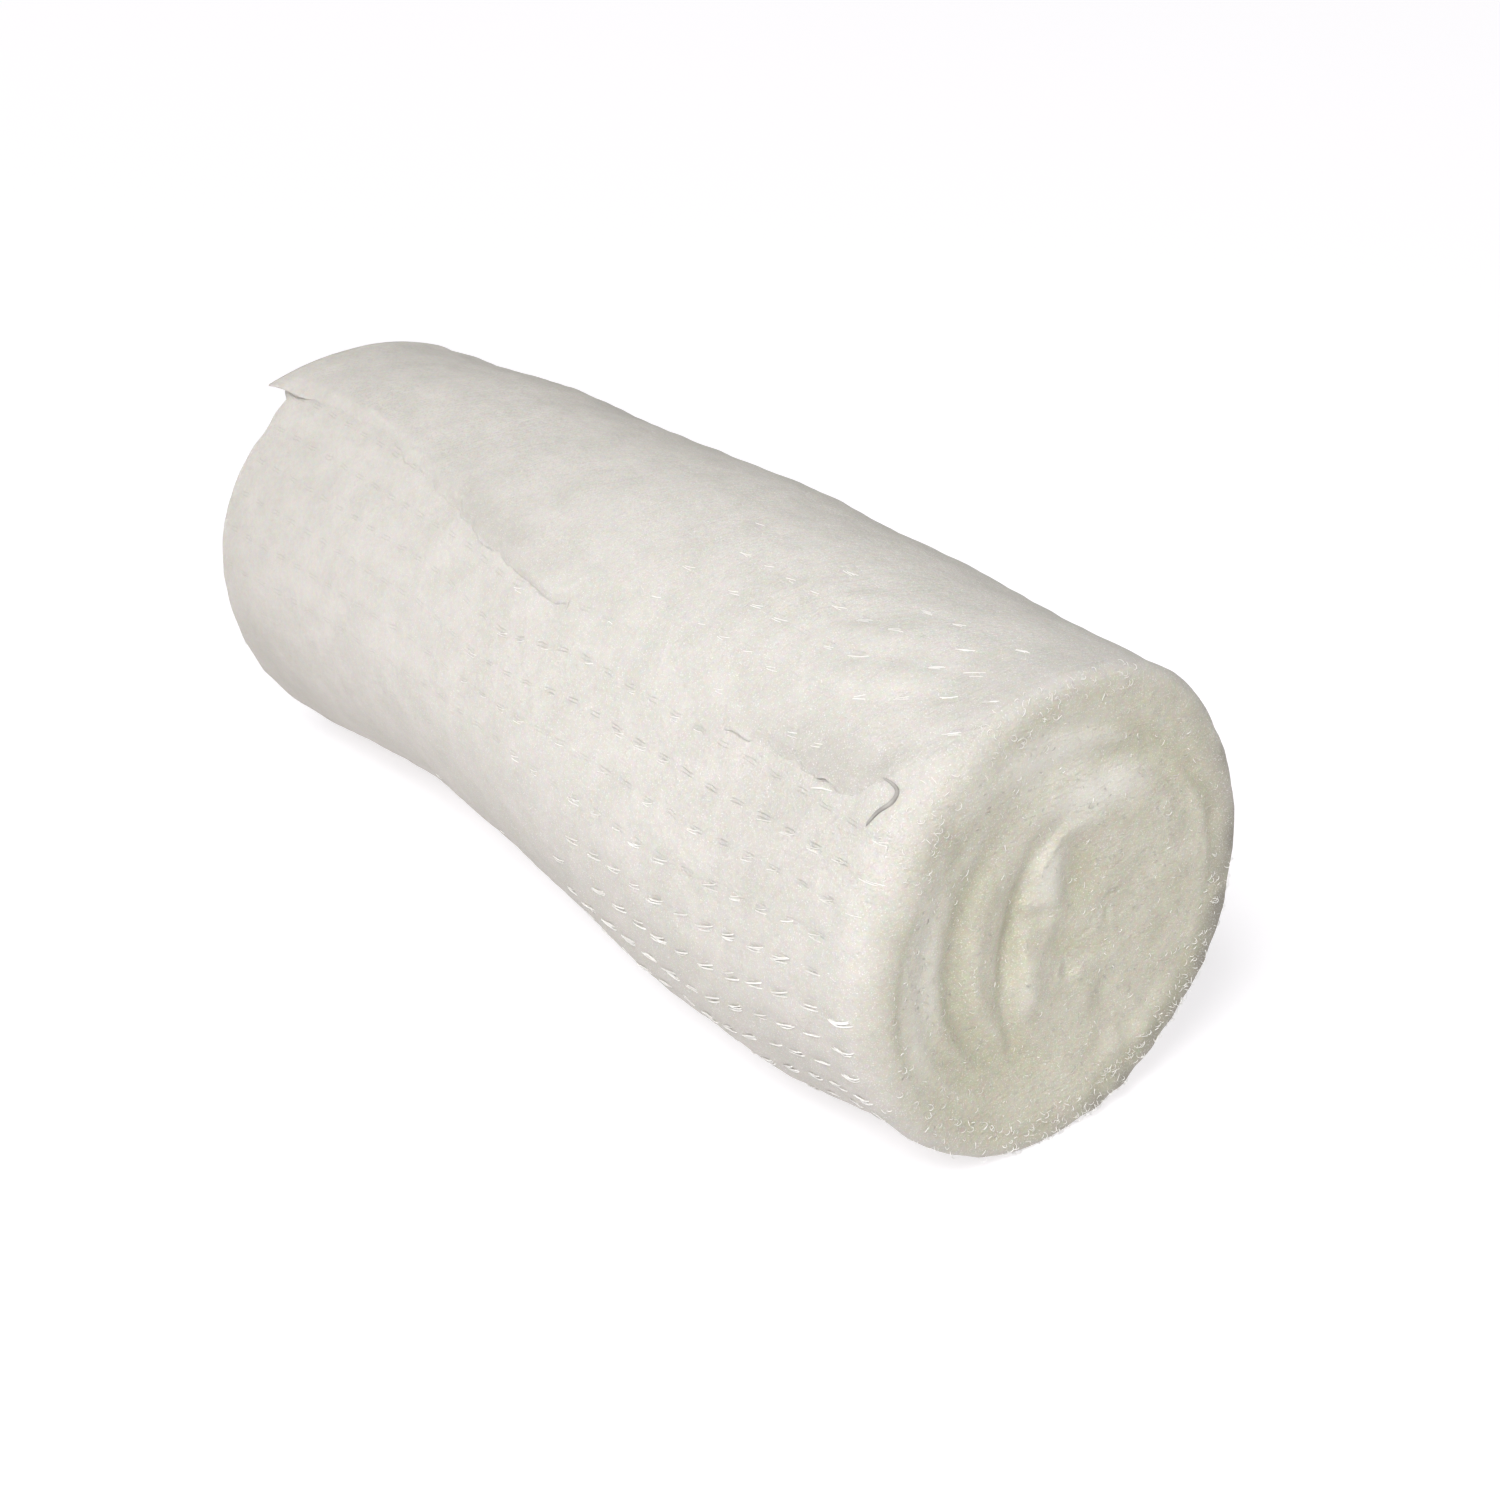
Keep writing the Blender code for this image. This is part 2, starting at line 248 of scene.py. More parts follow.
def row_angle(row, x):
    """The angle at which a row crosses this place along the roll, found step by step."""
    angle = FIRST_ROW + ROW_PITCH * row
    for _ in range(25):
        angle = 0.5 * angle + 0.5 * (FIRST_ROW + ROW_PITCH * row + row_bend(x, angle))
    return angle


print("rows are", round(ROW_PITCH * DEGREE, 2), "mm apart round the roll")


# %% [markdown]
# How much of the knit shows differs from place to place.  It is plainest low on the front
# near the belly, and open just below the cut edge.  On top, and towards the far end, the
# cloth lies felted and nearly smooth.

# %% How plainly the knit shows
def plainness(x, angle):
    """0 where the cloth looks felted, 1 where every row stands out."""
    angle = turned(angle, 200.0)
    belly = ease((x + 4.0) / 30.0) * hill(angle - 205.0, 62.0)
    below_cut = ease((x + 14.0) / 14.0) * hill(angle - 150.0, 22.0)
    behind = 0.7 * ease((angle - 235.0) / 30.0) + 0.7 * ease((55.0 - angle) / 20.0)
    top_near = 0.8 * hill(x - 34.0, 24.0) * hill(angle - 112.0, 30.0)
    return np.clip(0.1 + belly + 0.75 * below_cut + behind + top_near, 0.0, 1.0)


# %% The cloth's own relief
PUFF = 0.17  # mm, how far the cloth stands out between two rows where the knit is plain
WALE_RIDGE = 0.05
CREASE_WIDTH = 0.8  # of the crease in which a row of weft lies
BROAD_HEIGHT, SMALL_HEIGHT, CRUMPLE_HEIGHT = 0.12, 0.04, 0.014  # mm, of the three lumps
PULL_HEIGHT, PULL_PITCH = 0.09, 5.0  # the slanting pulls on the top, near the near end


def puff_height(row, wale):
    across = (row - np.round(row)) * ROW_PITCH * DEGREE  # mm from the nearest row
    between = 0.5 - 0.5 * np.cos(2 * math.pi * wale)  # 1 halfway between two wales
    crease = np.exp(-((across / CREASE_WIDTH) ** 2)) * (0.25 + 0.75 * between)
    return PUFF * (0.45 - crease) + WALE_RIDGE * (0.5 - between)


def cloth_relief(points, x, angle):
    """How far the cloth stands out from the smooth form, in mm."""
    row, wale = knit_row(x, angle), knit_wale(x, angle)
    small = lumps(points, SMALL_LUMPS)
    relief = BROAD_HEIGHT * lumps(points, BROAD_LUMPS) + SMALL_HEIGHT * small
    relief = relief + CRUMPLE_HEIGHT * lumps(points, CRUMPLE)
    top_near = hill(x - 36.0, 24.0) * hill(turned(angle, 108.0) - 108.0, 30.0)
    askew = np.sin((x * 0.52 + angle * DEGREE * 0.85) * 2 * math.pi / PULL_PITCH)
    relief = relief + PULL_HEIGHT * top_near * askew * (0.7 + 0.6 * small)
    return relief + puff_height(row, wale) * (0.15 + 0.85 * plainness(x, angle))


# %% [markdown]
# ## The ends of the roll
#
# At each end the edges of all the wound turns show.  They are soft as cotton wool, so they
# read as broad terraces rather than as thin rings.  On the left of the near end they have
# slid inward: a wide dark groove, a pale ridge, then a narrow cleft at the foot of the
# innermost turns, which stand out again as two pale lobes.  On the right they lie flush.

# %% The folds of the near end
NEAR_X, FAR_X = 50.9, -51.2
OUTER_SHARE = 0.86
CORE = (1.0, -2.2)  # the core's place from the roll's axis, across and up
FAR_CORE = (0.5, 1.0)  # the same at the far end
FOLD_SHARE = 0.72  # part of each fold's height is kept, because the fibres soften it

# Each fold: its width, then rows of (angle about the core, distance from it, height).
NEAR_FOLDS = (
    (1.0, ((100, 21.4, 0), (125, 20.8, -0.1), (150, 19.0, -0.15), (175, 17.6, -0.2),
           (200, 16.3, -0.25), (225, 15.3, -0.25), (250, 14.9, -0.2), (285, 15.0, 0))),
    (0.9, ((110, 18.5, 0), (140, 17.2, -0.2), (165, 15.8, -0.35), (190, 14.4, -0.45),
           (215, 13.3, -0.45), (240, 13.0, -0.35), (270, 13.2, 0))),
    (1.4, ((95, 15.5, 0), (125, 14.8, -0.3), (150, 13.6, -0.7), (172, 12.5, -1.0),
           (200, 11.2, -1.2), (222, 10.6, -1.15), (240, 10.4, -0.7), (265, 11, -0.2),
           (285, 12, 0))),
    (1.1, ((100, 13.3, 0), (126, 12.2, 0.25), (159, 10.1, 0.35), (180, 9.4, 0.35),
           (199, 9.1, 0.35), (220, 9.3, 0.15), (235, 9.3, 0))),
    (1.05, ((85, 12.0, 0), (105, 11.4, -0.2), (124, 9.7, -0.6), (140, 8.4, -0.9),
            (166, 7.1, -1.2), (190, 6.9, -1.25), (221, 7.9, -1.1), (240, 9.2, -0.7),
            (262, 9.8, -0.2), (290, 10.5, 0))),
    (0.5, ((55, 10.4, 0), (75, 11.0, 0.3), (96, 10.6, 0.35), (112, 9.4, 0.2), (125, 8.6, 0))),
    (0.8, ((-20, 15.4, 0), (13, 16.2, -0.45), (26, 16.7, -0.6), (44, 17.0, -0.6),
           (65, 17.9, -0.6), (82, 19.2, -0.5), (97, 20.2, -0.3), (112, 21.2, 0))),
    (1.0, ((10, 14.2, 0), (44, 15.2, -0.35), (65, 16.2, -0.5), (90, 16.9, -0.5),
           (108, 17.2, -0.3), (125, 17.6, 0))),
    (1.5, ((0, 11.5, 0), (35, 12.7, 0.15), (82, 13.9, 0.22), (105, 14.0, 0.15),
           (125, 14.0, 0))),
    (0.6, ((215, 17.4, 0), (240, 16.9, -0.2), (265, 16.6, -0.3), (300, 16.2, -0.25),
           (335, 15.8, 0))),
)

# Dents and lumps: (across, up, reach across, reach up, height), from the roll's axis.
NEAR_DENTS = (
    (-2.3, 1.7, 3.0, 1.3, -0.5),  # the crease between the two pale lobes
    (-1.5, 5.0, 2.6, 4.4, 0.45),  # the upper lobe
    (-3.6, -4.9, 2.6, 4.8, 0.5),  # the lower lobe
    (1.6, 3.6, 2.8, 4.6, -0.38),  # the dark swirl to the right of the lobes
    (0.4, -1.6, 2.2, 3.4, -0.45),  # its lower part
    (1.4, -4.4, 1.3, 1.2, -0.35),  # its end
    (5.4, 2.6, 3.2, 3.8, 0.12),  # the middle of the innermost turn
    (5.9, 1.2, 1.5, 0.5, -0.2),  # short slits round it
    (5.2, -0.7, 0.5, 1.1, -0.2),
    (3.2, -1.6, 1.2, 0.5, -0.15),
    (4.4, -4.6, 3.2, 1.6, 0.3),  # a loose turn below the swirl
    (10.0, -4.0, 6.0, 8.0, 0.2),  # the full right side
)

# %% Painted light and shade on the near end
# Where the end is paler: partly the lobes' own whiter cloth, partly painted light on the
# ridges and the rim.  (across, up, reach across, reach up, how much).
PALE_AND_LIT_PARTS = (
    (-1.5, 5.0, 2.9, 4.8, 0.65),  # the upper lobe
    (2.2, 8.6, 4.2, 1.4, 0.5),  # the fold above it
    (-3.7, -4.9, 2.7, 5.2, 0.28),  # the lower lobe
    (-2.0, 15.5, 10.5, 4.5, 0.8),  # the top of the rim
    (3.0, 11.0, 8.5, 3.4, 0.9),  # the broad fold below that
    (-13.6, 0.0, 3.4, 15.0, 0.65),  # the left of the rim
    (-9.5, 15.5, 4.5, 5.0, 0.45),  # where the two meet
)

# Painted shade, darker and greener, in the swirl beside the two lobes.
SHADED_GREEN_PARTS = (
    (2.2, 3.6, 2.4, 4.4, 0.75), (1.2, -2.0, 3.2, 1.9, 0.75), (4.6, -3.4, 2.0, 1.2, 0.5),
)
print("folds, dents, pale and green parts:", len(NEAR_FOLDS), len(NEAR_DENTS),
      len(PALE_AND_LIT_PARTS), len(SHADED_GREEN_PARTS))

# %% The height of the near end
# The folds were measured where the camera sees them.  What lies 1 mm deeper is this much
# farther along the line of sight, across and up; about half of it shows at a fold's rim.
SIGHT = (0.6, -0.5)


def about_core(y, z):
    """Distance from the core and angle about it."""
    dy, dz = y - CORE[0], z - CORE[1]
    return np.hypot(dy, dz), turned(np.degrees(np.arctan2(dz, dy)), 90.0)


def near_dish(share, y, z):
    """How far the near end is hollow, at a place measured from the axis."""
    distance, angle = about_core(y, z)
    inward = 1.0 - share / OUTER_SHARE
    left = (0.5 + 0.5 * np.cos(np.radians(angle - 178.0))) ** 1.5
    dish = -0.8 * left * ease(inward / 0.3) * (1.0 - 0.85 * ease((7.5 - distance) / 3.0))
    return dish - 0.25 * (1.0 - left) * ease(inward / 0.5)


def near_folds(dish, y, z):
    """The folds' own height, grooves below 0 and ridges above."""
    height = np.zeros(np.shape(y))
    for width, rows in NEAR_FOLDS:
        seen_y, seen_z = y, z
        for _ in range(2):
            sunk = -dish - along_table(rows, about_core(seen_y, seen_z)[1], 2)
            seen_y, seen_z = y - SIGHT[0] * sunk, z - SIGHT[1] * sunk
        distance, angle = about_core(seen_y, seen_z)
        off = (distance - along_table(rows, angle)) / width
        height = height + FOLD_SHARE * along_table(rows, angle, 2) * np.exp(-off * off)
    return height


def near_height(share, y, z):
    """How far the near end's turns stand out there."""
    dish = near_dish(share, y, z)
    height = dish + near_folds(dish, y, z)
    for across, up, reach_across, reach_up, size in NEAR_DENTS:
        away = np.hypot((y - across) / reach_across, (z - up) / reach_up)
        height = height + size * hill(away, 1.0)
    return height * ease((1.0 - share / OUTER_SHARE) / 0.07)


# %% The turns of the far end
# (number of turns from the middle, height)
FAR_TURNS = (
    (0, -1.2), (0.5, -0.6), (1, -1.5), (1.5, -0.5), (2, -1.5), (2.5, -0.6), (3, -1.4),
    (3.5, -0.5), (4, -1.2), (4.5, -0.4), (5, -0.9), (5.5, -0.2), (6, -0.7), (6.5, 0), (7, 0),
)


def far_height(share, y, z):
    """The same for the far end, whose turns stand in a calmer spiral."""
    angle = turned(np.degrees(np.arctan2(z - FAR_CORE[1], y - FAR_CORE[0])), 20.0)
    number = share * 8 - (angle - 10.0) / 360.0
    groove = (0.5 + 0.5 * np.cos(2 * math.pi * number)) ** 2
    shallow = -0.5 * (1.0 - ease(share)) - 0.2 * groove
    weight = (0.5 + 0.5 * np.cos(np.radians(angle - 20.0))) ** 1.3
    height = shallow + (0.8 * along_table(FAR_TURNS, number) - shallow) * weight
    height = -0.7 + (height + 0.7) * ease(share / 0.16)
    return height * ease((OUTER_SHARE - share) / 0.06)


print("the far end's middle lies", -round(float(far_height(0.0, *FAR_CORE)), 2), "mm deep")


# %% [markdown]
# ## The wound turns
#
# The roll is one closed mesh of rings: in from the middle of the far end, over its soft
# edge, along the side, over the near edge and in to the core.  The smooth form comes first.
# Then each point moves along the surface's normal by the relief of the cloth.

# %% Soft edges, and the room for the loose end
FIRM_EDGE = 1.1  # the radius of an end's edge where it is firmest
SHEET_FAR_X = -51.5  # the loose end's far selvage
TUCKED = 0.75  # how far the turn stands out under the loose end


def edge_size(facing, angle):
    """The radius of an end's rounded edge: softest on the left of the near end."""
    soft_angle, soft_edge = (162.0, 3.3) if facing > 0 else (20.0, 2.0)
    off = turned(angle, soft_angle) - soft_angle
    return FIRM_EDGE + (soft_edge - FIRM_EDGE) * hill(off, 85.0)


def sheet_near_x(angle):
    """The loose end's near selvage follows the rim and is cut back at the corner."""
    return 50.4 - 3.2 * ease((angle - 110.0) / 27.0) ** 1.4


def sprung(x, back):
    """How far the loose end's far corner has sprung up, that many mm from the cut edge."""
    return 1.4 * hill(x - SHEET_FAR_X, 4.5) * np.clip(1.0 - back / 9.5, 0.0, 1.0) ** 1.6


def under_loose_end(x, angle):
    """The strip dives under the loose end, and swells out again below the cut edge."""
    dive = WIND_STEP * (1.0 - ease((angle - ROOT_ANGLE) / 12.0))
    beyond = (angle - cut_angle(x)) * DEGREE
    spring = 0.85 * sprung(x, np.maximum(-beyond, 0.0)) * ease(-beyond / 0.8)
    flush = (WIND_STEP - TUCKED) * ease((x - sheet_near_x(angle) + 2.6) / 1.6)
    filled = TUCKED + spring + flush
    return np.maximum(dive, filled * np.where(beyond < 0, 1.0, hill(beyond, 4.5)))


def side_radius(x, angle):
    return winding_radius(x, angle) + under_loose_end(x, angle)


print("softest edge of the near end:", round(float(edge_size(1, 162.0)), 2), "mm")

# %% Rings of the roll
AROUND = 288
SIDE_RINGS = 196
RIM_RINGS = 8
FACE_RINGS = {1: 62, -1: 38}  # the near end and the far end
INNER_SHARE = 0.03  # the size of the last ring, which a point closes
angles = ROOT_ANGLE + 360.0 * np.arange(AROUND) / AROUND


def rim_ring(facing, tip):
    """A ring of an end's rounded edge.  The tip turns from the side, 0, to the end's face."""
    edge, end_x = edge_size(facing, angles), NEAR_X if facing > 0 else FAR_X
    x = end_x - facing * edge * (1.0 - math.sin(tip))
    return on_roll(x, angles, side_radius(x, angles) - edge * (1.0 - math.cos(tip)))


def face_ring(facing, share):
    """A ring of an end face.  The spiral's step is levelled out on the way in."""
    end_x = NEAR_X if facing > 0 else FAR_X
    across, up = CORE if facing > 0 else FAR_CORE
    core = np.array((end_x, across, AXIS_HEIGHT + up))
    levelled = ease((OUTER_SHARE - share) / 0.1)
    step = WIND_STEP * ((angles - ROOT_ANGLE) / 360.0 - 0.5) + under_loose_end(end_x, angles)
    radius = side_radius(end_x, angles) - step * levelled - edge_size(facing, angles)
    points = core + (on_roll(end_x, angles, radius) - core) * share / OUTER_SHARE
    standing = near_height if facing > 0 else far_height
    points[:, 0] += facing * standing(share, points[:, 1], points[:, 2] - AXIS_HEIGHT)
    return points


def end_rings(facing):
    """From the side's last ring in to the core."""
    rim = [rim_ring(facing, math.pi / 2 * i / RIM_RINGS) for i in range(1, RIM_RINGS)]
    steps = FACE_RINGS[facing]
    shares = OUTER_SHARE + (INNER_SHARE - OUTER_SHARE) * np.arange(steps) / (steps - 1)
    return rim + [face_ring(facing, share) for share in shares]


side_start = FAR_X + edge_size(-1, angles)
side_stop = NEAR_X - edge_size(1, angles)
side_rings = [
    on_roll(x, angles, side_radius(x, angles))
    for x in np.linspace(side_start, side_stop, SIDE_RINGS)
]
rings = np.array(end_rings(-1)[::-1] + side_rings + end_rings(1))
first_side = FACE_RINGS[-1] + RIM_RINGS - 1
print("rings of the roll:", len(rings))


# %% Lay the cloth's relief on it
def grid_normals(grid, closed):
    """Unit normals of a grid of points; its second axis may run round and close."""
    down = np.gradient(grid, axis=0)
    if closed:
        along = np.roll(grid, -1, axis=1) - np.roll(grid, 1, axis=1)
    else:
        along = np.gradient(grid, axis=1)
    normals = np.cross(along, down)
    return normals / np.maximum(np.linalg.norm(normals, axis=-1), 1e-9)[..., None]


def side_share(x, angle):
    """1 on the roll's side, falling to 0 over its rounded edges."""
    near = ease((NEAR_X - 0.55 * edge_size(1, angle) - x) / 2.5)
    return near * ease((x - FAR_X - 0.55 * edge_size(-1, angle)) / 2.5)


number = np.arange(len(rings))[:, None]
is_side = side_share(rings[..., 0], angles[None, :])
is_side = is_side * (number >= first_side) * (number < first_side + SIDE_RINGS)
side_relief = cloth_relief(rings, rings[..., 0], angles[None, :])
face_relief = 0.05 * lumps(rings, SMALL_LUMPS) + 0.018 * lumps(rings, CRUMPLE)
# Low on the right, the near rim is tufted.
tufts = hill(turned(angles, 298.0) - 298.0, 55.0) * (rings[..., 0] > 44.0)
face_relief = face_relief + 0.14 * tufts * lumps(rings, SMALL_LUMPS)
relief = side_relief * is_side + face_relief * (1.0 - is_side)
# The strip that rests on the table stays flat.
on_table = hill(turned(angles, 270.0) - 270.0, 26.0)[None, :]
rings = rings + grid_normals(rings, True) * (relief * (1.0 - on_table))[..., None]
rings[..., 2] = np.maximum(rings[..., 2], 0.0)
roll_normals = grid_normals(rings, True)
print("the relief is at most", round(float(np.abs(relief).max()), 2), "mm")

# %% [markdown]
# ## From grids to meshes
#
# A grid of points becomes a mesh of four-sided faces.  Each piece also carries the knit's
# map as a UV map, and a few numbers per point that its material reads.

# %% Turn grids into meshes
# The roll's middle in the frame, in mm.  The CAD's loose end starts 51.9 mm before it.
LOOSE_END_REACH, MIDDLE_ACROSS = 51.9, -0.053
shift = np.array((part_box("loose_end")[0].x / MM + LOOSE_END_REACH, MIDDLE_ACROSS, 0.0))


def grid_quads(rows, columns, closed=False, first=0):
    """The four corners' numbers of every face of a grid."""
    numbers = first + np.arange(rows * columns).reshape(rows, columns)
    if closed:
        numbers = np.concatenate((numbers, numbers[:, :1]), axis=1)
    corners = (numbers[:-1, :-1], numbers[:-1, 1:], numbers[1:, 1:], numbers[1:, :-1])
    return np.stack(corners, -1).reshape(-1, 4)


def cloth_piece(name, points, faces, material, corner_map=None, **values):
    """A smooth mesh that rides on the roll, from points in the roll's own mm."""
    mesh = bpy.data.meshes.new(name)
    mesh.from_pydata(((points + shift) * MM).tolist(), [], faces)
    mesh.shade_smooth()
    mesh.materials.append(material)
    if corner_map is not None:
        layer = mesh.uv_layers.new(name="knit")
        layer.uv.foreach_set("vector", np.asarray(corner_map, "f").ravel())
    for key, value in values.items():
        layer = mesh.attributes.new(key, "FLOAT", "POINT")
        layer.data.foreach_set("value", np.asarray(value, "f").ravel())
    obj = bpy.data.objects.new(name, mesh)
    scene.collection.objects.link(obj)
    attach(obj, "root")
    print(name, "has", len(mesh.polygons), "faces")
    return obj


# %% [markdown]
# ## Materials
#
# The gauze is knitted from a blend of cotton and viscose.  Cotton is matt, soft and slightly
# see-through, and single filaments of viscose glint.  The yarn is spun from short fibres,
# which gives the cloth a fuzzy grain.  Nodes do all of this without pictures: noise makes the
# cloudy tones and the grain, and the knit's map places the slits between the stitches.

# %% Helpers for materials
def linear(hex_colour):
    """An sRGB hex colour as linear RGBA."""
    parts = [int(hex_colour[i : i + 2], 16) / 255 for i in (0, 2, 4)]
    parts = [c / 12.92 if c <= 0.04045 else ((c + 0.055) / 1.055) ** 2.4 for c in parts]
    return (*parts, 1.0)


def new_material(name):
    material = bpy.data.materials.new(name)
    material.use_nodes = True
    return material, material.node_tree, material.node_tree.nodes["Principled BSDF"]


def node(tree, kind, out=0, **given):
    """Adds a node with its settings and links, and returns one of its outputs.

    A name that the node knows is a setting.  Any other is an input, which gets a value or a
    link: i0 is the first input, and From_Min is the one called From Min.
    """
    made = tree.nodes.new("ShaderNode" + kind)
    for key, value in given.items():
        if hasattr(made, key):
            setattr(made, key, value)
            continue
        counted = key[0] == "i" and key[1:].isdigit()
        socket = made.inputs[int(key[1:]) if counted else key.replace("_", " ")]
        if isinstance(value, bpy.types.NodeSocket):
            tree.links.new(value, socket)
        else:
            socket.default_value = value
    return made.outputs[out]


# For a Mix node: its factor is i0, its two colours are i6 and i7, and its result is output 2.
COLOURS = {"data_type": "RGBA"}
OVERLAY = {"data_type": "RGBA", "blend_type": "OVERLAY"}
print("white is", linear("FFFFFF"))

# %% Sizes of the gauze's patterns
# A noise's scale is how many of its blotches fit in a metre.
CLOUDS = 260.0  # 3.8 mm, where the fibres lie thicker or thinner
WANDER = 900.0  # 1.1 mm, how a slit's edge wanders
FLECKS = 1500.0  # 0.7 mm, small gaps between clumps of fibres
# A real fibre is about 0.015 mm thick, too fine to show in the render.  So the grain, the
# glints and the felted fibres are drawn coarser, 0.1 to 0.45 mm across.
GRAIN = 2200.0
GLINTS = 9000.0
FELT = ((0.4, 4200.0), (1.5, 5000.0), (2.5, 3600.0))  # (turn of the fibres, scale)
FIBRE_STRETCH = (1.0, 0.35, 1.0)  # each fibre is about three times as long as it is wide
FELT_HEIGHT = 0.08 * MM
CLOUD_RANGE = {"From_Min": 0.35, "From_Max": 0.65}

# %% Gauze: the tones of the side and of the ends
gauze, tree, shader = new_material("cotton_viscose_gauze")
# Light wanders about a millimetre into the cloth, which softens its shadows.
shader.inputs["Subsurface Weight"].default_value = 0.15
shader.inputs["Subsurface Radius"].default_value = (1.0, 0.95, 0.85)
shader.inputs["Subsurface Scale"].default_value = 1.0 * MM
place = node(tree, "TexCoord", "Object")
END, DEPTH, OPEN, PALE, SHADE = (
    node(tree, "Attribute", "Fac", attribute_name=name)
    for name in ("end", "depth", "open", "pale", "shade")
)
clouds = node(tree, "TexNoise", Vector=place, Scale=CLOUDS, Detail=4.0, Roughness=0.65)
clouds = node(tree, "MapRange", Value=clouds, **CLOUD_RANGE)
grain = node(tree, "TexNoise", "Color", Vector=place, Scale=GRAIN, Detail=4.0, Roughness=0.75)
GRAIN_STRENGTH = 0.27

# The side is a warm white, a little greener towards the near end.
along = node(tree, "SeparateXYZ", "X", i0=place)
nearer = node(tree, "MapRange", Value=along, From_Min=-0.035, From_Max=0.02)
tint = node(tree, "Mix", 2, **COLOURS, i0=nearer, i6=linear("CAC6BF"), i7=linear("C9C6BE"))
colour = node(tree, "Mix", 2, **COLOURS, i0=clouds, i6=linear("D3CEC8"), i7=tint)
colour = node(tree, "Mix", 2, **OVERLAY, i0=GRAIN_STRENGTH, i6=colour, i7=grain)
# The ends are yellower and a little darker, partly as painted shade for their fine cavities.
# In the grooves they get painted shade, darker and greener.  On the lobes, ridges and rim
# they are paler, partly the side's own cloth showing and partly painted light.
ends = node(tree, "Mix", 2, **COLOURS, i0=clouds, i6=linear("C7C3B3"), i7=linear("BDB9A7"))
for share, tone in ((DEPTH, "B7B49C"), (PALE, "DFDCD2")):
    ends = node(tree, "Mix", 2, **COLOURS, i0=share, i6=ends, i7=linear(tone))
ends = node(tree, "Mix", 2, **OVERLAY, i0=GRAIN_STRENGTH, i6=ends, i7=grain)
colour = node(tree, "Mix", 2, **COLOURS, i0=END, i6=colour, i7=ends)
colour = node(tree, "Mix", 2, **COLOURS, i0=SHADE, i6=colour, i7=linear("918D83"))
print("nodes for the gauze's tones:", len(tree.nodes))

# %% Gauze: slits between the stitches
# Two fine lines of painted shade run beside each other in every stitch, in the gap that the weft
# leaves.
wale, row = (
    node(tree, "SeparateXYZ", axis, i0=node(tree, "UVMap", "UV", uv_map="knit"))
    for axis in "XY"
)
wander = node(tree, "TexNoise", Vector=place, Scale=WANDER, Detail=1.0)
for operation, value in (("SUBTRACT", 0.5), ("MULTIPLY", 0.12)):
    wander = node(tree, "Math", operation=operation, i0=wander, i1=value)
for operation, value in (
    ("ADD", 0.60), ("FRACT", 0.0), ("SUBTRACT", 0.5), ("ADD", wander),
    ("ABSOLUTE", 0.0), ("SUBTRACT", 0.042), ("ABSOLUTE", 0.0),
):
    row = node(tree, "Math", operation=operation, i0=row, i1=value)
for operation, value in (("FRACT", 0.0), ("SUBTRACT", 0.5), ("ABSOLUTE", 0.0)):
    wale = node(tree, "Math", operation=operation, i0=wale, i1=value)
# Row and wale are now how far a point is from the nearest slit, as shares of a stitch.
fall = {"To_Min": 1.0, "To_Max": 0.0}
slit = node(tree, "MapRange", Value=row, From_Min=0.004, From_Max=0.018, **fall)
length = node(tree, "MapRange", Value=wale, From_Min=0.14, From_Max=0.28, **fall)
for value in (length, OPEN):
    slit = node(tree, "Math", operation="MULTIPLY", i0=slit, i1=value)
half_slit = node(tree, "Math", operation="MULTIPLY", i0=slit, i1=0.5)
colour = node(tree, "Mix", 2, **COLOURS, i0=half_slit, i6=colour, i7=linear("A39F98"))
print("nodes with the slits:", len(tree.nodes))

# %% Gauze: flecks, painted glints and felted fibres
fleck = node(tree, "TexNoise", Vector=place, Scale=FLECKS, Detail=2.0, Distortion=1.5)
fleck = node(tree, "MapRange", Value=fleck, From_Min=0.60, From_Max=0.70)
strength = node(tree, "MapRange", Value=END, To_Min=0.06, To_Max=0.2)
fleck = node(tree, "Math", operation="MULTIPLY", i0=fleck, i1=strength)
colour = node(tree, "Mix", 2, **COLOURS, i0=fleck, i6=colour, i7=linear("96927F"))
# Painted highlights: white specks in the base colour, with a lower roughness, more of them towards
# the near end.
glint = node(tree, "TexNoise", Vector=place, Scale=GLINTS, Detail=2.0)
glint = node(tree, "MapRange", Value=glint, From_Min=0.58, From_Max=0.76)
strength = node(tree, "MapRange", Value=along, From_Min=-0.04, From_Max=0.015,
                To_Min=0.12, To_Max=0.68)
glint = node(tree, "Math", operation="MULTIPLY", i0=glint, i1=strength)
colour = node(tree, "Mix", 2, **COLOURS, i0=glint, i6=colour, i7=linear("FFFFFF"))
roughness = node(tree, "MapRange", Value=glint, To_Min=0.9, To_Max=0.4)
felt = 0.0
for turn, scale in FELT:
    way = node(tree, "Mapping", Vector=place, Rotation=(turn, 1.3 * turn, 2.1 * turn),
               Scale=FIBRE_STRETCH)
    fibres = node(tree, "TexNoise", Vector=way, Scale=scale, Detail=2.0, Roughness=0.6)
    felt = node(tree, "Math", operation="ADD", i0=felt, i1=fibres)
felt = node(tree, "Math", operation="MULTIPLY_ADD", i0=slit, i1=-0.8, i2=felt)
bump = node(tree, "Bump", Height=felt, Strength=1.0, Distance=FELT_HEIGHT)
for value, socket in ((colour, "Base Color"), (roughness, "Roughness"), (bump, "Normal")):
    tree.links.new(value, shader.inputs[socket])
print("nodes in all:", len(tree.nodes))

# %% [markdown]
# ## Materials of the threads
#
# Three kinds of thread stand out of the cloth.  Each gets two tones in patches along it, so
# that no thread is one flat colour.

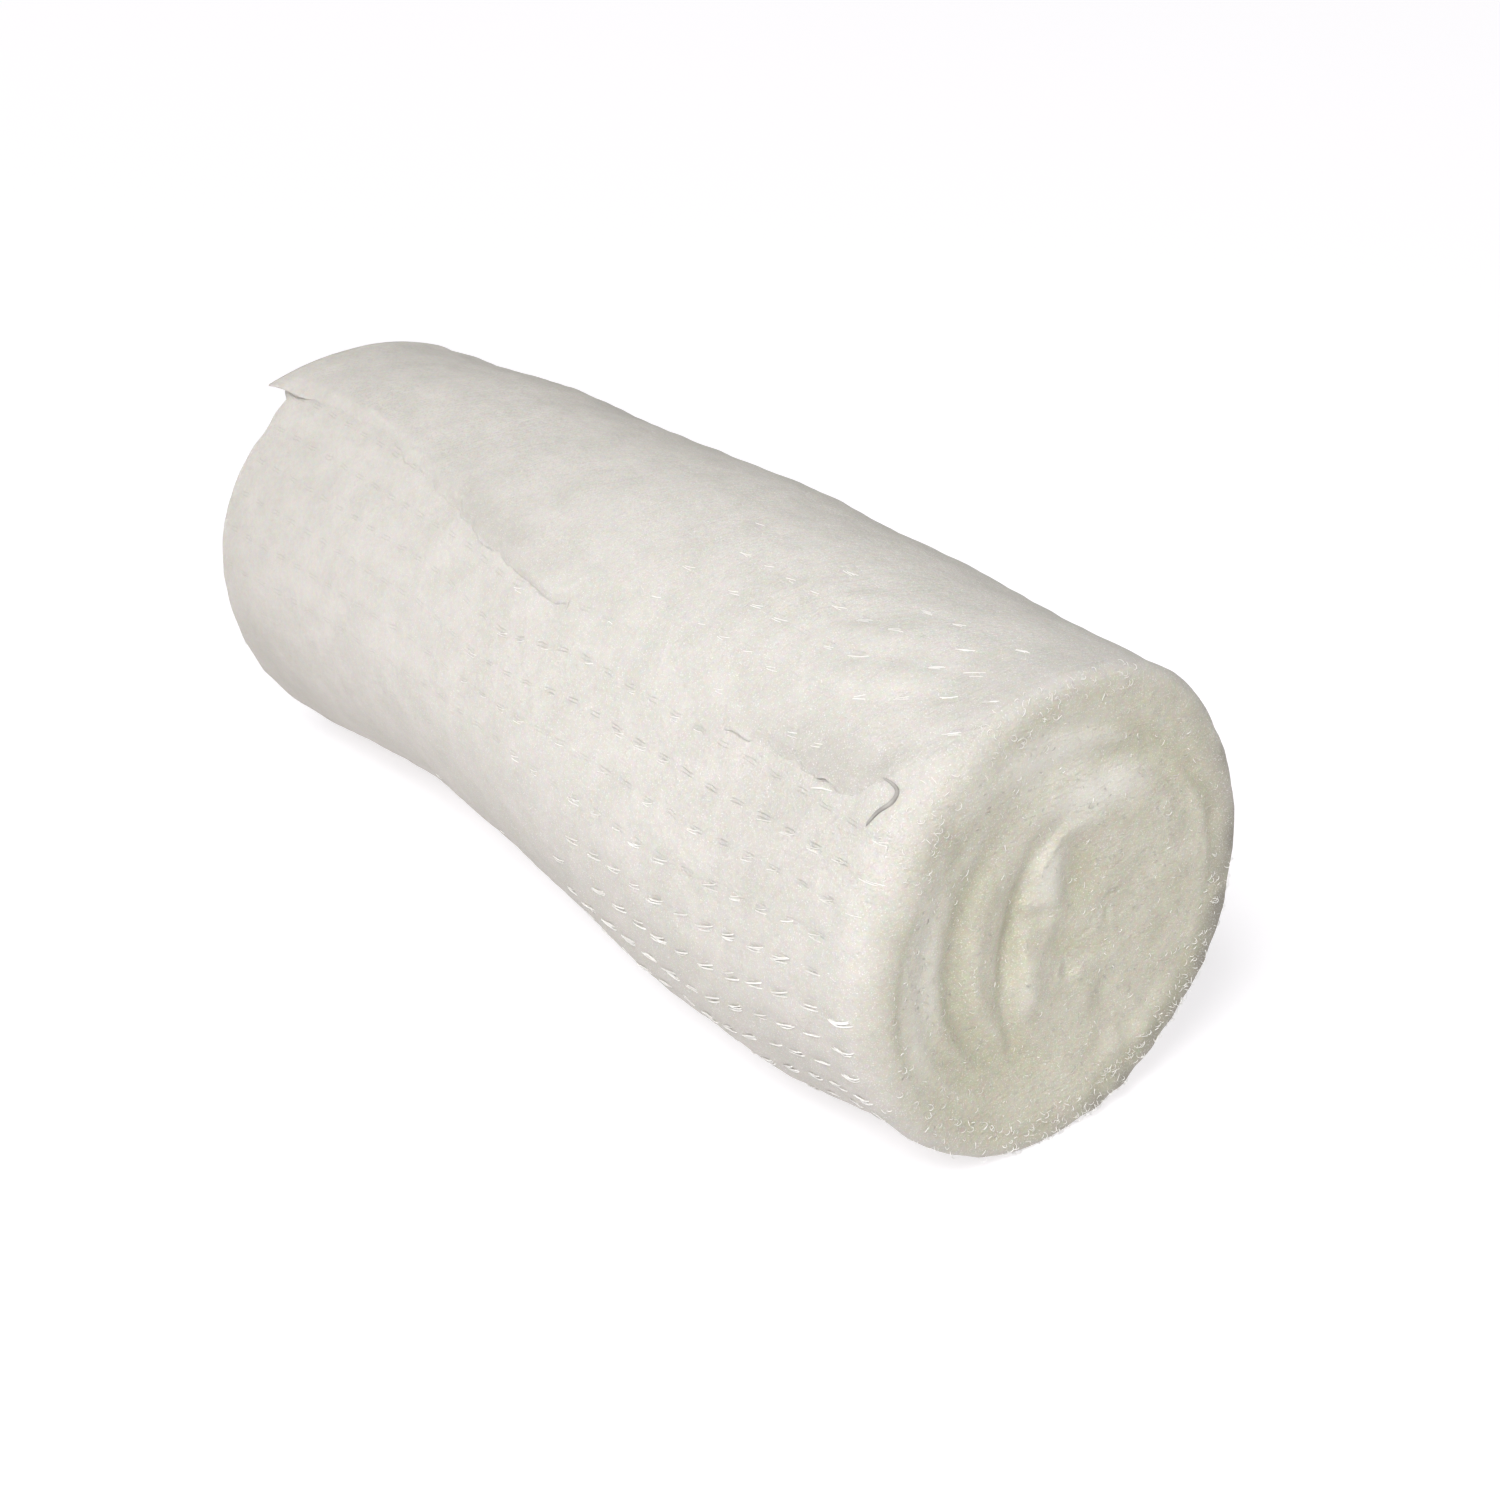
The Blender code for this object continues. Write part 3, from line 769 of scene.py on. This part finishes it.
# %% Viscose filament, greyed fibre and dusty thread
def thread_material(name, scale, light, dark, roughness, specular=0.5):
    """A thread's finish: light and dark patches along it, and how dull or shiny it is."""
    material, tree, shader = new_material(name)
    patches = node(tree, "TexNoise", Vector=node(tree, "TexCoord", "Object"), Scale=scale)
    patches = node(tree, "MapRange", Value=patches, **CLOUD_RANGE)
    tones = node(tree, "Mix", 2, **COLOURS, i0=patches, i6=linear(light), i7=linear(dark))
    tree.links.new(tones, shader.inputs["Base Color"])
    shader.inputs["Roughness"].default_value = roughness
    shader.inputs["Specular IOR Level"].default_value = specular
    print(name, "in patches of", round(1000 / scale, 1), "mm")
    return material


# Viscose is drawn smooth, so the weft shines in short bright dashes on the dull cloth.
filament = thread_material("viscose_filament", 500.0, "FFFEFB", "F8F5F0", 0.32, 0.85)
# Cut and frayed ends are fuzzy and matt.  They are painted a touch greyer: painted shade for the
# small gaps under them.
fibre = thread_material("shaded_grey_fibre", 900.0, "D2CEC9", "C0BCB7", 0.8)
# The frayed end at the near corner is painted grey: painted shade for the gap under the corner,
# where its tail lies.
shaded_thread = thread_material("shaded_grey_thread", 900.0, "AFABA6", "9A9691", 0.85)

# %% [markdown]
# ## The wound turns as a piece
#
# The grid of rings becomes one closed mesh.  Five numbers at each point tell the gauze how to
# look there: how far it is an end, how deep in a groove (painted shade), how pale (partly
# painted light), how open the knit is and how much painted shade it gets.  They come from
# the same forms as the mesh, so tone and shape agree.

# %% Painted shade on the side
def around(angle, middle, reach):
    """A hill round the roll, 1 at the middle angle."""
    return hill(turned(angle, middle) - middle, reach)


def painted_side_shade(x, angle):
    """Painted shade: where the side turns away from the light, or lies in the roll's own shade."""
    back = 0.26 * ease((x + 62.0) / 30.0) * around(angle, 56.0, 40.0)
    rim = 0.18 * hill(x - 48.0, 6.0) * around(angle, 104.0, 36.0)
    front = 0.13 * hill(x - 38.0, 15.0) * around(angle, 158.0, 34.0)
    far = 0.1 * ease((-32.0 - x) / 12.0) * around(angle, 190.0, 70.0)
    low = (0.31 + 0.11 * hill(x - 3.0, 24.0)) * around(angle, 226.0, 60.0)
    angle = turned(angle, 226.0)
    low = low + 0.16 * ease((angle - 220.0) / 16.0) * ease((285.0 - angle) / 30.0)
    return back + rim + front + far + low


# %% Points, faces and the knit's map
def knit_corners(x, angle):
    """The knit's map for each corner of a grid's faces."""
    both = np.stack((knit_wale(x, angle), knit_row(x, angle)), -1)
    return both.reshape(-1, 2)[grid_quads(*x.shape)].reshape(-1, 2)


points = rings.reshape(-1, 3)
tips = [rings[0].mean(axis=0), rings[-1].mean(axis=0)]  # the points that close the ends
last = len(points) - AROUND
faces = grid_quads(len(rings), AROUND, True).tolist()
for i in range(AROUND):
    j = (i + 1) % AROUND
    faces.append((j, i, len(points)))
    faces.append((last + i, last + j, len(points) + 1))
wide_x = np.concatenate((rings[..., 0], rings[:, :1, 0]), axis=1)
wide_angle = np.broadcast_to(np.append(angles, ROOT_ANGLE + 360.0), wide_x.shape)
corners = np.vstack((knit_corners(wide_x, wide_angle), np.zeros((6 * AROUND, 2))))
print("points of the roll:", len(points) + len(tips))

# %% Ends, grooves and pale parts
at_near = rings[..., 0] > 0
sunk = np.where(at_near, NEAR_X - rings[..., 0], rings[..., 0] - FAR_X)
# How many rings a point is in from the side's last one.
rim_steps = np.maximum(first_side - number, number - first_side - SIDE_RINGS + 1) - 1.0
end_share = ease(rim_steps / (RIM_RINGS + 2.0)) * np.ones(AROUND)
# Painted shade: the ends are drawn darker and greener where they lie deep and in the grooves of the
# folds.
depth = ease((sunk - 0.4) / 2.0) * ease((rim_steps - RIM_RINGS) / 4.0)
# Painted shade low on the right of the near rim, which turns away from the light and has shaded
# gaps between its tufts.
shaded_rim = around(angles, 322.0, 62.0) * hill(rim_steps - RIM_RINGS - 1.0, 9.0)
depth = np.maximum(depth, 0.9 * shaded_rim * at_near)
inward = np.clip((rim_steps - RIM_RINGS + 1.0) / (FACE_RINGS[1] - 1.0), 0.0, 1.0)
y, z = rings[..., 1], rings[..., 2] - AXIS_HEIGHT
grooves = -near_folds(near_dish(OUTER_SHARE * (1.0 - inward), y, z), y, z)
depth = np.maximum(depth, 0.6 * ease(grooves / 0.45) * end_share * at_near)


def painted(parts):
    """How strongly each point of the near end lies in one of these parts."""
    total = np.zeros(y.shape)
    for across, up, reach_across, reach_up, strength in parts:
        away = np.hypot((y - across) / reach_across, (z - up) / reach_up)
        total = np.maximum(total, strength * hill(away, 1.0) * at_near)
    return total


# Paler parts, partly painted light; then painted shade in the swirl.
pale_and_lit = painted(PALE_AND_LIT_PARTS)
depth = np.maximum(depth, painted(SHADED_GREEN_PARTS))
print("points painted pale:", int((pale_and_lit > 0.3).sum()))

# %% Shade and openness
shade = around(angles, 335.0, 100.0) * hill(rim_steps - 6.0, 10.0) * at_near
shade = shade * (0.85 + 0.35 * lumps(rings, SMALL_LUMPS))
shade = shade + painted_side_shade(rings[..., 0], angles[None, :]) * (1.0 - end_share)
openness = np.maximum(plainness(rings[..., 0], angles[None, :]), 0.5) * is_side
openness = openness * (1.0 - 0.92 * ease((angles - 172.0) / 24.0))
print("mean shade:", round(float(shade.mean()), 3), " openness:", round(float(openness.mean()), 3))

# %% Make the wound turns
# The last two values of each are for the points that close the ends.
wound = cloth_piece(
    "wound_turns", np.vstack((points, tips)), faces, gauze, corners,
    end=np.append(end_share.ravel(), (1, 1)), depth=np.append(depth.ravel(), (0.3, 0.3)),
    open=np.append(openness.ravel(), (0, 0)), shade=np.append(shade.ravel(), (0, 0)),
    pale=np.append(pale_and_lit.ravel(), (0, 0)),
)
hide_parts("wound_roll")

# %% [markdown]
# ## The loose end
#
# The last part of the outer turn lies on the roll, down to the cut edge.  It starts under
# the turn's own surface, just behind the top, so the two read as one strip of cloth.

# %% The form of the loose end
SHEET_ALONG, SHEET_AROUND = 300, 84
SPACING = 0.8  # below 1, the mesh is finer towards the cut edge
SHEET_ROOT = 64.0  # the angle at which it starts, under the turn's surface
SHEET_THICK = 0.5
JOG_AT = 5.4  # here the scissors were set again, so the cut jumps back
JOG = 3.6  # degrees
EDGE_DROP = 0.57  # how far the cut edge itself drops to the turn below
CORNER_END = 0.985  # the sheet stops just short of the rim's steepest part
# Where the cut edge gapes a little: (place along the roll, reach, height).
GAPES = ((-28.9, 1.4, 0.35), (-10.2, 2.2, 0.6), (30.6, 1.6, 0.5), (41.2, 1.6, 0.45))
# How the cut edge lies: (place along the roll, rise behind it, width of its slope), in mm.
EDGE_LIE = (
    (-52, 0.0, 2.6), (-42, 0.03, 1.7), (-30, 0.06, 1.4), (-12, 0.10, 1.3), (4.5, 0.10, 1.2),
    (7.5, 0.0, 3.8), (25, 0.0, 3.4), (31, 0.04, 2.0), (48, 0.06, 1.6),
)


def sheet_cut(x):
    """The real cut: it jumps at one place and wanders by a few threads."""
    jump = JOG * (x > JOG_AT) * hill(x - JOG_AT, 24.0)
    line = on_roll(x, cut_angle(x), ROLL_RADIUS)
    wander = 0.26 * lumps(line, SMALL_LUMPS) + 0.08 * lumps(line, CRUMPLE)
    return cut_angle(x) - jump + wander / DEGREE * (1.0 - hill(x - SHEET_FAR_X, 6.0))


def sheet_radius(x, angle):
    """The top of the loose end: it follows the rim, and curls down at its cut edge."""
    radius = winding_radius(x, angle + 360.0)
    edge = edge_size(1, angle)
    past = np.clip((x - (NEAR_X - edge)) / edge, 0.0, CORNER_END)
    radius = radius - edge * (1.0 - np.sqrt(1.0 - past**2))
    back = (sheet_cut(x) - angle) * DEGREE  # mm from the cut edge
    rise, slope = along_table(EDGE_LIE, x, 1), along_table(EDGE_LIE, x, 2)
    curl = rise * ease((4.5 - back) / 3.2) - (EDGE_DROP + rise) * ease(1.0 - back / slope)
    for at, reach, height in GAPES:
        curl = curl + height * hill(x - at, reach) * hill(back, 1.4)
    curl = curl * (1.0 - hill(x - SHEET_FAR_X, 7.0))
    selvage = -0.6 * ease(1.0 - (sheet_near_x(angle) - x) / 1.1) * (1.0 - ease(1.0 - back / 2.0))
    under = -0.12 * np.clip((ROOT_ANGLE - angle) / 4.0, 0.0, None) ** 2
    return radius + sprung(x, back) + curl + selvage + under


print("the cut jumps back by", round(JOG * DEGREE, 1), "mm")

# %% Its two faces
share_x = (np.arange(SHEET_ALONG + 1) / SHEET_ALONG)[:, None]
share_a = (np.arange(SHEET_AROUND + 1) / SHEET_AROUND)[None, :] ** SPACING
sheet_x = SHEET_FAR_X + (49.0 - SHEET_FAR_X) * share_x
# The cut depends on x and the selvage on the angle, so a few rounds settle both.
for _ in range(3):
    sheet_angle = SHEET_ROOT + (sheet_cut(sheet_x) - SHEET_ROOT) * share_a
    sheet_x = SHEET_FAR_X + (sheet_near_x(sheet_angle) - SHEET_FAR_X) * share_x
top = on_roll(sheet_x, sheet_angle, sheet_radius(sheet_x, sheet_angle))
relief = cloth_relief(top, sheet_x, sheet_angle) * side_share(sheet_x, sheet_angle)
top = top + grid_normals(top, False) * relief[..., None]
sheet_normals = grid_normals(top, False)
# It thins out over its last 0.8 mm.  Here it counts as a strip of 102 by 26 mm.
from_cut, from_selvage = (
    np.minimum(share, 1 - share) * size for share, size in ((share_a, 26.0), (share_x, 102.0))
)
thick = SHEET_THICK * (0.35 + 0.65 * ease(np.minimum(from_cut, from_selvage) / 0.8))
underside = top - sheet_normals * thick[..., None]
print("the loose end is at most", round(float(thick.max()), 2), "mm thick")

# %% Join the two faces along the border
rows, columns = top.shape[:2]
count = rows * columns
numbers = np.arange(count).reshape(rows, columns)
border = (numbers[0, :-1], numbers[:-1, -1], numbers[-1, :0:-1], numbers[:0:-1, 0])
border = np.concatenate(border)
nexts = np.roll(border, -1)
upper = grid_quads(rows, columns)
lower = grid_quads(rows, columns, first=count)[:, ::-1]
narrow = np.stack((border + count, nexts + count, nexts, border), -1)
faces = np.concatenate((upper, lower, narrow))
sheet_knit = (knit_wale(sheet_x, sheet_angle), knit_row(sheet_x, sheet_angle))
sheet_knit = np.stack(sheet_knit, -1).reshape(-1, 2)
print("faces along the border:", len(narrow))

# %% Make the loose end
# Painted shade: the loose end is drawn a little darker near its cut edge, most at its near corner.
back = (sheet_cut(sheet_x) - sheet_angle) * DEGREE
painted_cut_shade = 0.18 * hill(sheet_x + 9.0, 16.0) + 0.28 * hill(sheet_x - 43.0, 16.0)
shade = painted_cut_shade * ease(back / 0.4) * (1.0 - ease((back - 1.6) / 4.2))
shade = shade * ease((sheet_near_x(sheet_angle) - sheet_x) / 1.6)
shade = shade + painted_side_shade(sheet_x, sheet_angle)
zeros = np.zeros(2 * count)
loose = cloth_piece(
    "loose_end_cloth", np.vstack((top.reshape(-1, 3), underside.reshape(-1, 3))), faces.tolist(),
    gauze, sheet_knit[faces % count].reshape(-1, 2), end=zeros, depth=zeros,
    shade=np.tile(shade.ravel(), 2),
    open=np.tile(0.45 * plainness(sheet_x, sheet_angle).ravel(), 2),
)
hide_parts("loose_end")

# %% [markdown]
# ## Threads
#
# The weft threads, frayed loops and stray ends are thin tubes with pointed tips.  Each lies
# on a place sampled from the finished cloth, so none of them floats.

# %% Threads from centre lines
TABLE_GAP = 0.02  # no thread lies lower than this above the table


def thread_faces(threads, points, sides):
    """Faces of tubes whose first and last points are tips."""
    rings = points - 2
    one = []
    for i in range(sides):
        j = (i + 1) % sides
        one.append((0, 1 + i, 1 + j, 1 + j))
        for r in range(rings - 1):
            a = 1 + r * sides
            one.append((a + i, a + sides + i, a + sides + j, a + j))
        a = 1 + (rings - 1) * sides
        one.append((a + i, a + sides, a + j, a + j))
    size = 2 + rings * sides
    every = np.array(one)[None] + (np.arange(threads) * size)[:, None, None]
    return [tuple(dict.fromkeys(face)) for face in every.reshape(-1, 4).tolist()]


def threads(name, lines, thickness, planes, material, sides=3):
    """Tubes along lines (thread, point, xyz), each bending in the plane of its normal."""
    count, points = lines.shape[:2]
    along = np.gradient(lines, axis=1)
    along /= np.linalg.norm(along, axis=-1)[..., None]
    one = np.cross(along, planes[:, None, :])
    one /= np.linalg.norm(one, axis=-1)[..., None]
    two = np.cross(one, along)
    turn = 2 * math.pi * np.arange(sides) / sides
    out = one[:, 1:-1, None] * np.cos(turn)[:, None] + two[:, 1:-1, None] * np.sin(turn)[:, None]
    tube = lines[:, 1:-1, None] + out * thickness[:, 1:-1, None, None]
    tube = tube.reshape(count, -1, 3)
    places = np.concatenate((lines[:, :1], tube, lines[:, -1:]), axis=1).reshape(-1, 3)
    places[:, 2] = np.maximum(places[:, 2], TABLE_GAP)
    return cloth_piece(name, places, thread_faces(count, points, sides), material)


print("faces of one weft thread:", len(thread_faces(1, 7, 3)))


# %% Places on the finished cloth
def sample(grid, row, column, closed=False):
    """A value of a grid between its points."""
    rows, columns = grid.shape[:2]
    row = np.clip(row, 0, rows - 1.001)
    if closed:
        column = column % columns
    else:
        column = np.clip(column, 0, columns - 1.001)
    r, c = np.floor(row).astype(int), np.floor(column).astype(int)
    fr, fc = (row - r)[..., None], (column - c)[..., None]
    after = (c + 1) % columns
    before = grid[r, c] * (1 - fc) + grid[r, after] * fc
    return before * (1 - fr) + (grid[r + 1, c] * (1 - fc) + grid[r + 1, after] * fc) * fr


def on_side(x, angle):
    """A point of the roll's side and its normal."""
    column = (angle - ROOT_ANGLE) / 360.0 * AROUND
    start, stop = FAR_X + edge_size(-1, angle), NEAR_X - edge_size(1, angle)
    row = first_side + (x - start) / (stop - start) * (SIDE_RINGS - 1)
    return sample(rings, row, column, True), sample(roll_normals, row, column, True)


def on_sheet(x, angle):
    """A point of the loose end and its normal."""
    share = np.clip((angle - SHEET_ROOT) / (sheet_cut(x) - SHEET_ROOT), 0.0, 1.0)
    column = share ** (1 / SPACING) * SHEET_AROUND
    row = (x - SHEET_FAR_X) / (sheet_near_x(angle) - SHEET_FAR_X) * SHEET_ALONG
    return sample(top, row, column), sample(sheet_normals, row, column)


# %% [markdown]
# ## Weft threads
#
# Between two wales the weft lies bare: two or three parallel filaments, 2 mm long, that
# catch the light as a short dash.  Low on the front they sag like little smiles.  Each lies
# along its row of the knit's map, and its two tips dip into the cloth.

# %% Lay the weft threads
DASH_POINTS = 7
# For the three threads of a group: how often one is there, its place in the group from the
# upper side to the lower, and how far it fans out.
USED, PLACES, FANS = (1.15, 0.95, 0.55), (-1.0, 1.0, 0.0), (-0.07, 0.07, 0.02)


def row_slope(x, angle):
    """How a row's angle changes along the roll, in degrees per mm."""
    return row_bend(x + 0.5, angle) - row_bend(x - 0.5, angle)


def weft(name, row_numbers, wale_numbers, keep, surface, seed):
    """Dashes where these rows cross these wales, on a surface and where `keep` allows."""
    rng = np.random.default_rng(seed)
    row, wale = np.meshgrid(row_numbers, wale_numbers, indexing="ij")
    row, wale = row.ravel().astype(float), wale.ravel().astype(float)
    x = (wale + 0.5) * WALE_PITCH
    angle = row_angle(row, x)
    plain = plainness(x, angle)
    inside = keep(x, angle) & (rng.random(len(x)) < 1.4 * plain - 0.13)
    x, angle, plain = x[inside], angle[inside], plain[inside]
    # High on the front, most groups have lost a thread or two.
    high = 0.55 * ease((185.0 - angle) / 30.0)
    group = rng.random(len(x)) + high * (0.5 + 0.5 * ease((angle - 112.0) / 30.0))
    lines, widths, planes = [], [], []
    t = np.linspace(-1.0, 1.0, DASH_POINTS)[None, :]
    for often, place, fan in zip(USED, PLACES, FANS):
        used = group < often
        n = used.sum()
        jitter = rng.normal(size=(n, 4))
        shown = np.clip(plain[used] * (1 + 0.35 * jitter[:, 3]), 0.05, 1.0)
        belly = ease((angle[used] - 154.0) / 36.0)
        shown = shown * (0.5 + 0.5 * belly)
        half = (0.95 + 0.18 * belly + 0.14 * jitter[:, 0]) * (0.6 + 0.5 * shown)
        across = place * (0.11 + 0.07 * belly) + 0.03 * jitter[:, 1]
        fanned = fan + 0.05 * jitter[:, 2]
        sag = 0.05 + 0.12 * around(angle[used], 215.0, 60.0)
        middle = x[used] + 0.16 * rng.normal(size=n)
        xs = middle[:, None] + half[:, None] * t
        slope = (row_slope(x[used], angle[used]) * half)[:, None] * t
        down = across[:, None] + fanned[:, None] * t + sag[:, None] * (0.5 - t**2)
        angs = angle[used][:, None] + slope + (down - 0.16 * t * half[:, None]) / DEGREE
        points, normals = surface(xs, angs)
        lift = ((0.09 + 0.02 * belly) * shown + 0.01)[:, None] * (1 - t**2)
        lift = lift - 0.10 * np.abs(t) ** 5  # the tips go under the cloth
        lines.append(points + normals * lift[..., None])
        # Where the belly turns under, the threads are seen edge on and look finer.
        grazed = 1.0 - 0.3 * ease((angle[used] - 212.0) / 16.0)
        width = 0.03 + (0.045 + 0.03 * belly * grazed) * shown
        widths.append(width[:, None] * (1.0 - 0.35 * t**2))
        planes.append(normals[:, DASH_POINTS // 2])
    lines, widths, planes = (np.concatenate(each) for each in (lines, widths, planes))
    return threads(name, lines, widths, planes, filament)


# %% Weft on the roll and on the loose end
def bare_roll(x, a):
    return (a > cut_angle(x) + 1.0) & (a < ROOT_ANGLE + 358.0) & (np.abs(x) < 48.6)


def bare_sheet(x, a):
    inside = (a < cut_angle(x) - 3.0) & (a > ROOT_ANGLE + 1.0)
    return inside & (x < sheet_near_x(a) - 1.2) & (x > -50.5)


wales = np.arange(-16, 16)
weft("weft_on_roll", np.arange(-7, 29), wales, bare_roll, on_side, seed=21)
weft_on_sheet = weft(
    "weft_on_loose_end", np.arange(-9, 1), wales, bare_sheet, on_sheet, seed=22
)

# %% [markdown]
# ## Curled thread ends
#
# Where the turns' edges show, cut and looped filaments stick out: tiny bright commas all
# over each end, and rows of small loops along the rims.  A particle system could scatter
# them, but arcs laid on the grid of rings stay where the cloth is.

# %% Scatter curls
CURL_POINTS = 8


def at_angle(angle):
    return (angle - ROOT_ANGLE) / 360.0 * AROUND


def curls(name, row, column, size, sweep, lean, seed, thickness, material=filament):
    """Arcs that leave the cloth and dip into it again, at places of the roll's grid.

    Size and thickness are ranges in mm, sweep is how far an arc runs to each side in
    radians, and lean is how far it may tilt.
    """
    rng = np.random.default_rng(seed)
    n = len(row)
    at, out = sample(rings, row, column, True), sample(roll_normals, row, column, True)
    way = rng.normal(size=(n, 3))
    way -= out * np.sum(way * out, axis=1)[:, None]
    way /= np.linalg.norm(way, axis=1)[:, None]
    beside = np.cross(out, way)
    tilt = rng.uniform(-lean, lean, n)[:, None]
    rise = out * np.cos(tilt) + beside * np.sin(tilt)
    radius = rng.uniform(*size, n)[:, None, None]
    reach = rng.uniform(*sweep, n)[:, None]
    t = np.linspace(-1, 1, CURL_POINTS)[None, :] * reach
    foot = np.cos(reach) + 0.25
    lines = at[:, None] + radius * (
        np.sin(t)[..., None] * way[:, None] + (np.cos(t) - foot)[..., None] * rise[:, None]
    )
    taper = 1 - 0.4 * np.linspace(-1, 1, CURL_POINTS) ** 2
    width = rng.uniform(*thickness, n)[:, None] * taper
    return threads(name, lines, width, np.cross(way, rise), material)


# %% Curls on both ends and along the near rim
rng = np.random.default_rng(31)
near_first = first_side + SIDE_RINGS
for name, n, seed, material in (
    ("commas_near", 300, 32, filament), ("grey_commas_near", 700, 36, fibre),
):
    share = np.sqrt(rng.uniform(0.01, 1.0, n))
    row = near_first + RIM_RINGS + (1 - share) * (FACE_RINGS[1] - 3)
    curls(name, row, rng.uniform(0, AROUND, n),
          (0.16, 0.36), (0.7, 1.3), 0.9, seed, (0.018, 0.038), material)
n = 270
row = near_first + rng.uniform(1, RIM_RINGS + 7, n)
curls("loops_lower_rim", row, at_angle(rng.triangular(195, 300, 365, n)),
      (0.16, 0.31), (1.5, 2.3), 1.1, 33, (0.022, 0.038))
n = 120
row = near_first + rng.uniform(0, RIM_RINGS + 2, n)
curls("loops_upper_rim", row, at_angle(rng.uniform(72, 150, n)),
      (0.14, 0.34), (1.0, 2.0), 1.1, 34, (0.018, 0.032))
n = 260
row = rng.uniform(2, FACE_RINGS[-1] + 5, n)
curls("commas_far", row, rng.uniform(0, AROUND, n),
      (0.2, 0.4), (0.8, 1.8), 1.0, 35, (0.025, 0.045))

# %% [markdown]
# ## Stray threads
#
# A grey frayed end curls round at the loose end's near corner, with a short white streak
# beside it.  Cut threads stand out of the cut edge here and there, and one grey hair lies
# low on the belly.  Each is drawn through a few places on the roll.

# %% Lay the stray threads
STRAY_POINTS = 24


def stray(name, places, lift, width, material, points=STRAY_POINTS):
    """One thread through (along, angle) places of the roll's side, a little above it."""
    keys = np.linspace(0, 1, len(places))
    rows = [(k, *p) for k, p in zip(keys, places)]
    t = np.linspace(0, 1, points)
    at, out = on_side(along_table(rows, t, 1), along_table(rows, t, 2))
    line = at + out * (lift * np.sin(math.pi * np.clip(t, 0.02, 0.98)) + 0.02)[:, None]
    thick = width * (0.35 + 0.65 * np.sin(math.pi * np.clip(t, 0.05, 0.95)))
    return threads(name, line[None], thick[None], out.mean(axis=0)[None], material, sides=5)


FRAYED_CORNER = (
    (45.3, 133.1), (46.3, 132.6), (47.3, 132.6), (48.1, 133.4), (48.2, 135.9), (47.6, 138.7),
    (47.05, 142.0),
)
WHITE_STREAK = ((40.0, 141.4), (41.1, 140.3), (42.3, 139.6))
FRAYS = (
    ((4.6, 130.6), (5.2, 133.2), (5.5, 135.6)), ((-11.8, 127.3), (-10.6, 126.6), (-9.4, 127.6)),
    ((-9.9, 128.6), (-9.0, 127.9), (-8.2, 128.2)), ((-29.4, 120.2), (-28.7, 121.0), (-28.2, 120.7)),
    ((29.9, 138.3), (30.7, 137.6), (31.5, 136.9)), ((40.3, 139.6), (41.0, 138.6), (41.8, 137.9)),
)
GREY_HAIR = ((43.7, 189.9), (44.3, 190.6), (44.9, 190.3), (45.6, 187.4), (46.6, 184.9))
# The frayed end opens out from 0.08 to 0.3 mm.
stray("frayed_corner", FRAYED_CORNER, 0.02, np.linspace(0.08, 0.3, STRAY_POINTS), shaded_thread)
stray("white_streak", WHITE_STREAK, 0.08, 0.07, filament)
for i, places in enumerate(FRAYS, 1):
    stray(f"fray_{i}", places, 0.1, 0.04, fibre, 9)
stray("grey_hair", GREY_HAIR, 0.25, 0.035, fibre)

# %% [markdown]
# ## The table and the light
#
# The roll stands in a pure white picture.  The table gives off a little light of its own, as
# a backlit photo table does, so its shadows stay faint.  One broad soft lamp stands high in
# front, to the left of the camera.  A small one close by lifts the near end a little, and
# the room is dim above pale walls.

# %% The table
HALF = 8.0  # m, so that its edges lie far outside the picture
table = bpy.data.meshes.new("table")
table_corners = [(-HALF, -HALF, 0), (HALF, -HALF, 0), (HALF, HALF, 0), (-HALF, HALF, 0)]
table.from_pydata(table_corners, [], [(0, 1, 2, 3)])
table_obj = bpy.data.objects.new("table", table)
scene.collection.objects.link(table_obj)
# White acrylic, matt, and glowing a little by itself as painted light: it takes up most of a
# shadow.
acrylic, tree, shader = new_material("glowing_white_acrylic")
shader.inputs["Base Color"].default_value = linear("B9B7BA")
shader.inputs["Roughness"].default_value = 0.9
shader.inputs["Emission Color"].default_value = (1.0, 0.99, 1.0, 1.0)
shader.inputs["Emission Strength"].default_value = 0.62
table.materials.append(acrylic)
print("the table is", round(2 * HALF), "m wide")


# %% Two lamps
def area_light(name, azimuth, elevation, distance, size, power, aim_x=0.0, spread=180):
    """A round lamp that looks at the roll: angles in degrees, sizes in metres."""
    a, e = math.radians(azimuth), math.radians(elevation)
    way = np.array((math.sin(a) * math.cos(e), -math.cos(a) * math.cos(e), math.sin(e)))
    data = bpy.data.lights.new(name, "AREA")
    data.shape, data.size, data.energy = "DISK", size, power
    data.spread = math.radians(spread)
    lamp = bpy.data.objects.new(name, data)
    lamp.visible_camera = False
    lamp.location = way * distance + np.array((aim_x, 0, 0.02))
    lamp.rotation_euler = (math.pi / 2 - e, 0.0, a)
    scene.collection.objects.link(lamp)
    print(name, "at", [round(c, 2) for c in lamp.location], "m")


area_light("soft_lamp", 22, 51, 4.0, 1.8, 91.0)
area_light("near_lamp", 34, 50, 0.35, 0.15, 0.029, aim_x=0.04, spread=40)

# %% The room
world = bpy.data.worlds.new("studio")
world.use_nodes = True
scene.world = world
tree = world.node_tree
height = node(tree, "SeparateXYZ", "Z", i0=node(tree, "TexCoord", "Generated"))
WALL, CEILING = 1.0, 0.40  # how bright the room is low down and high up
walls = node(tree, "MapRange", Value=height, From_Min=0.02, From_Max=0.16,
             To_Min=WALL, To_Max=CEILING)
background = tree.nodes["Background"]
background.inputs["Color"].default_value = (1, 1, 1, 1)
tree.links.new(walls, background.inputs["Strength"])
print("the room's light falls from", WALL, "to", CEILING)
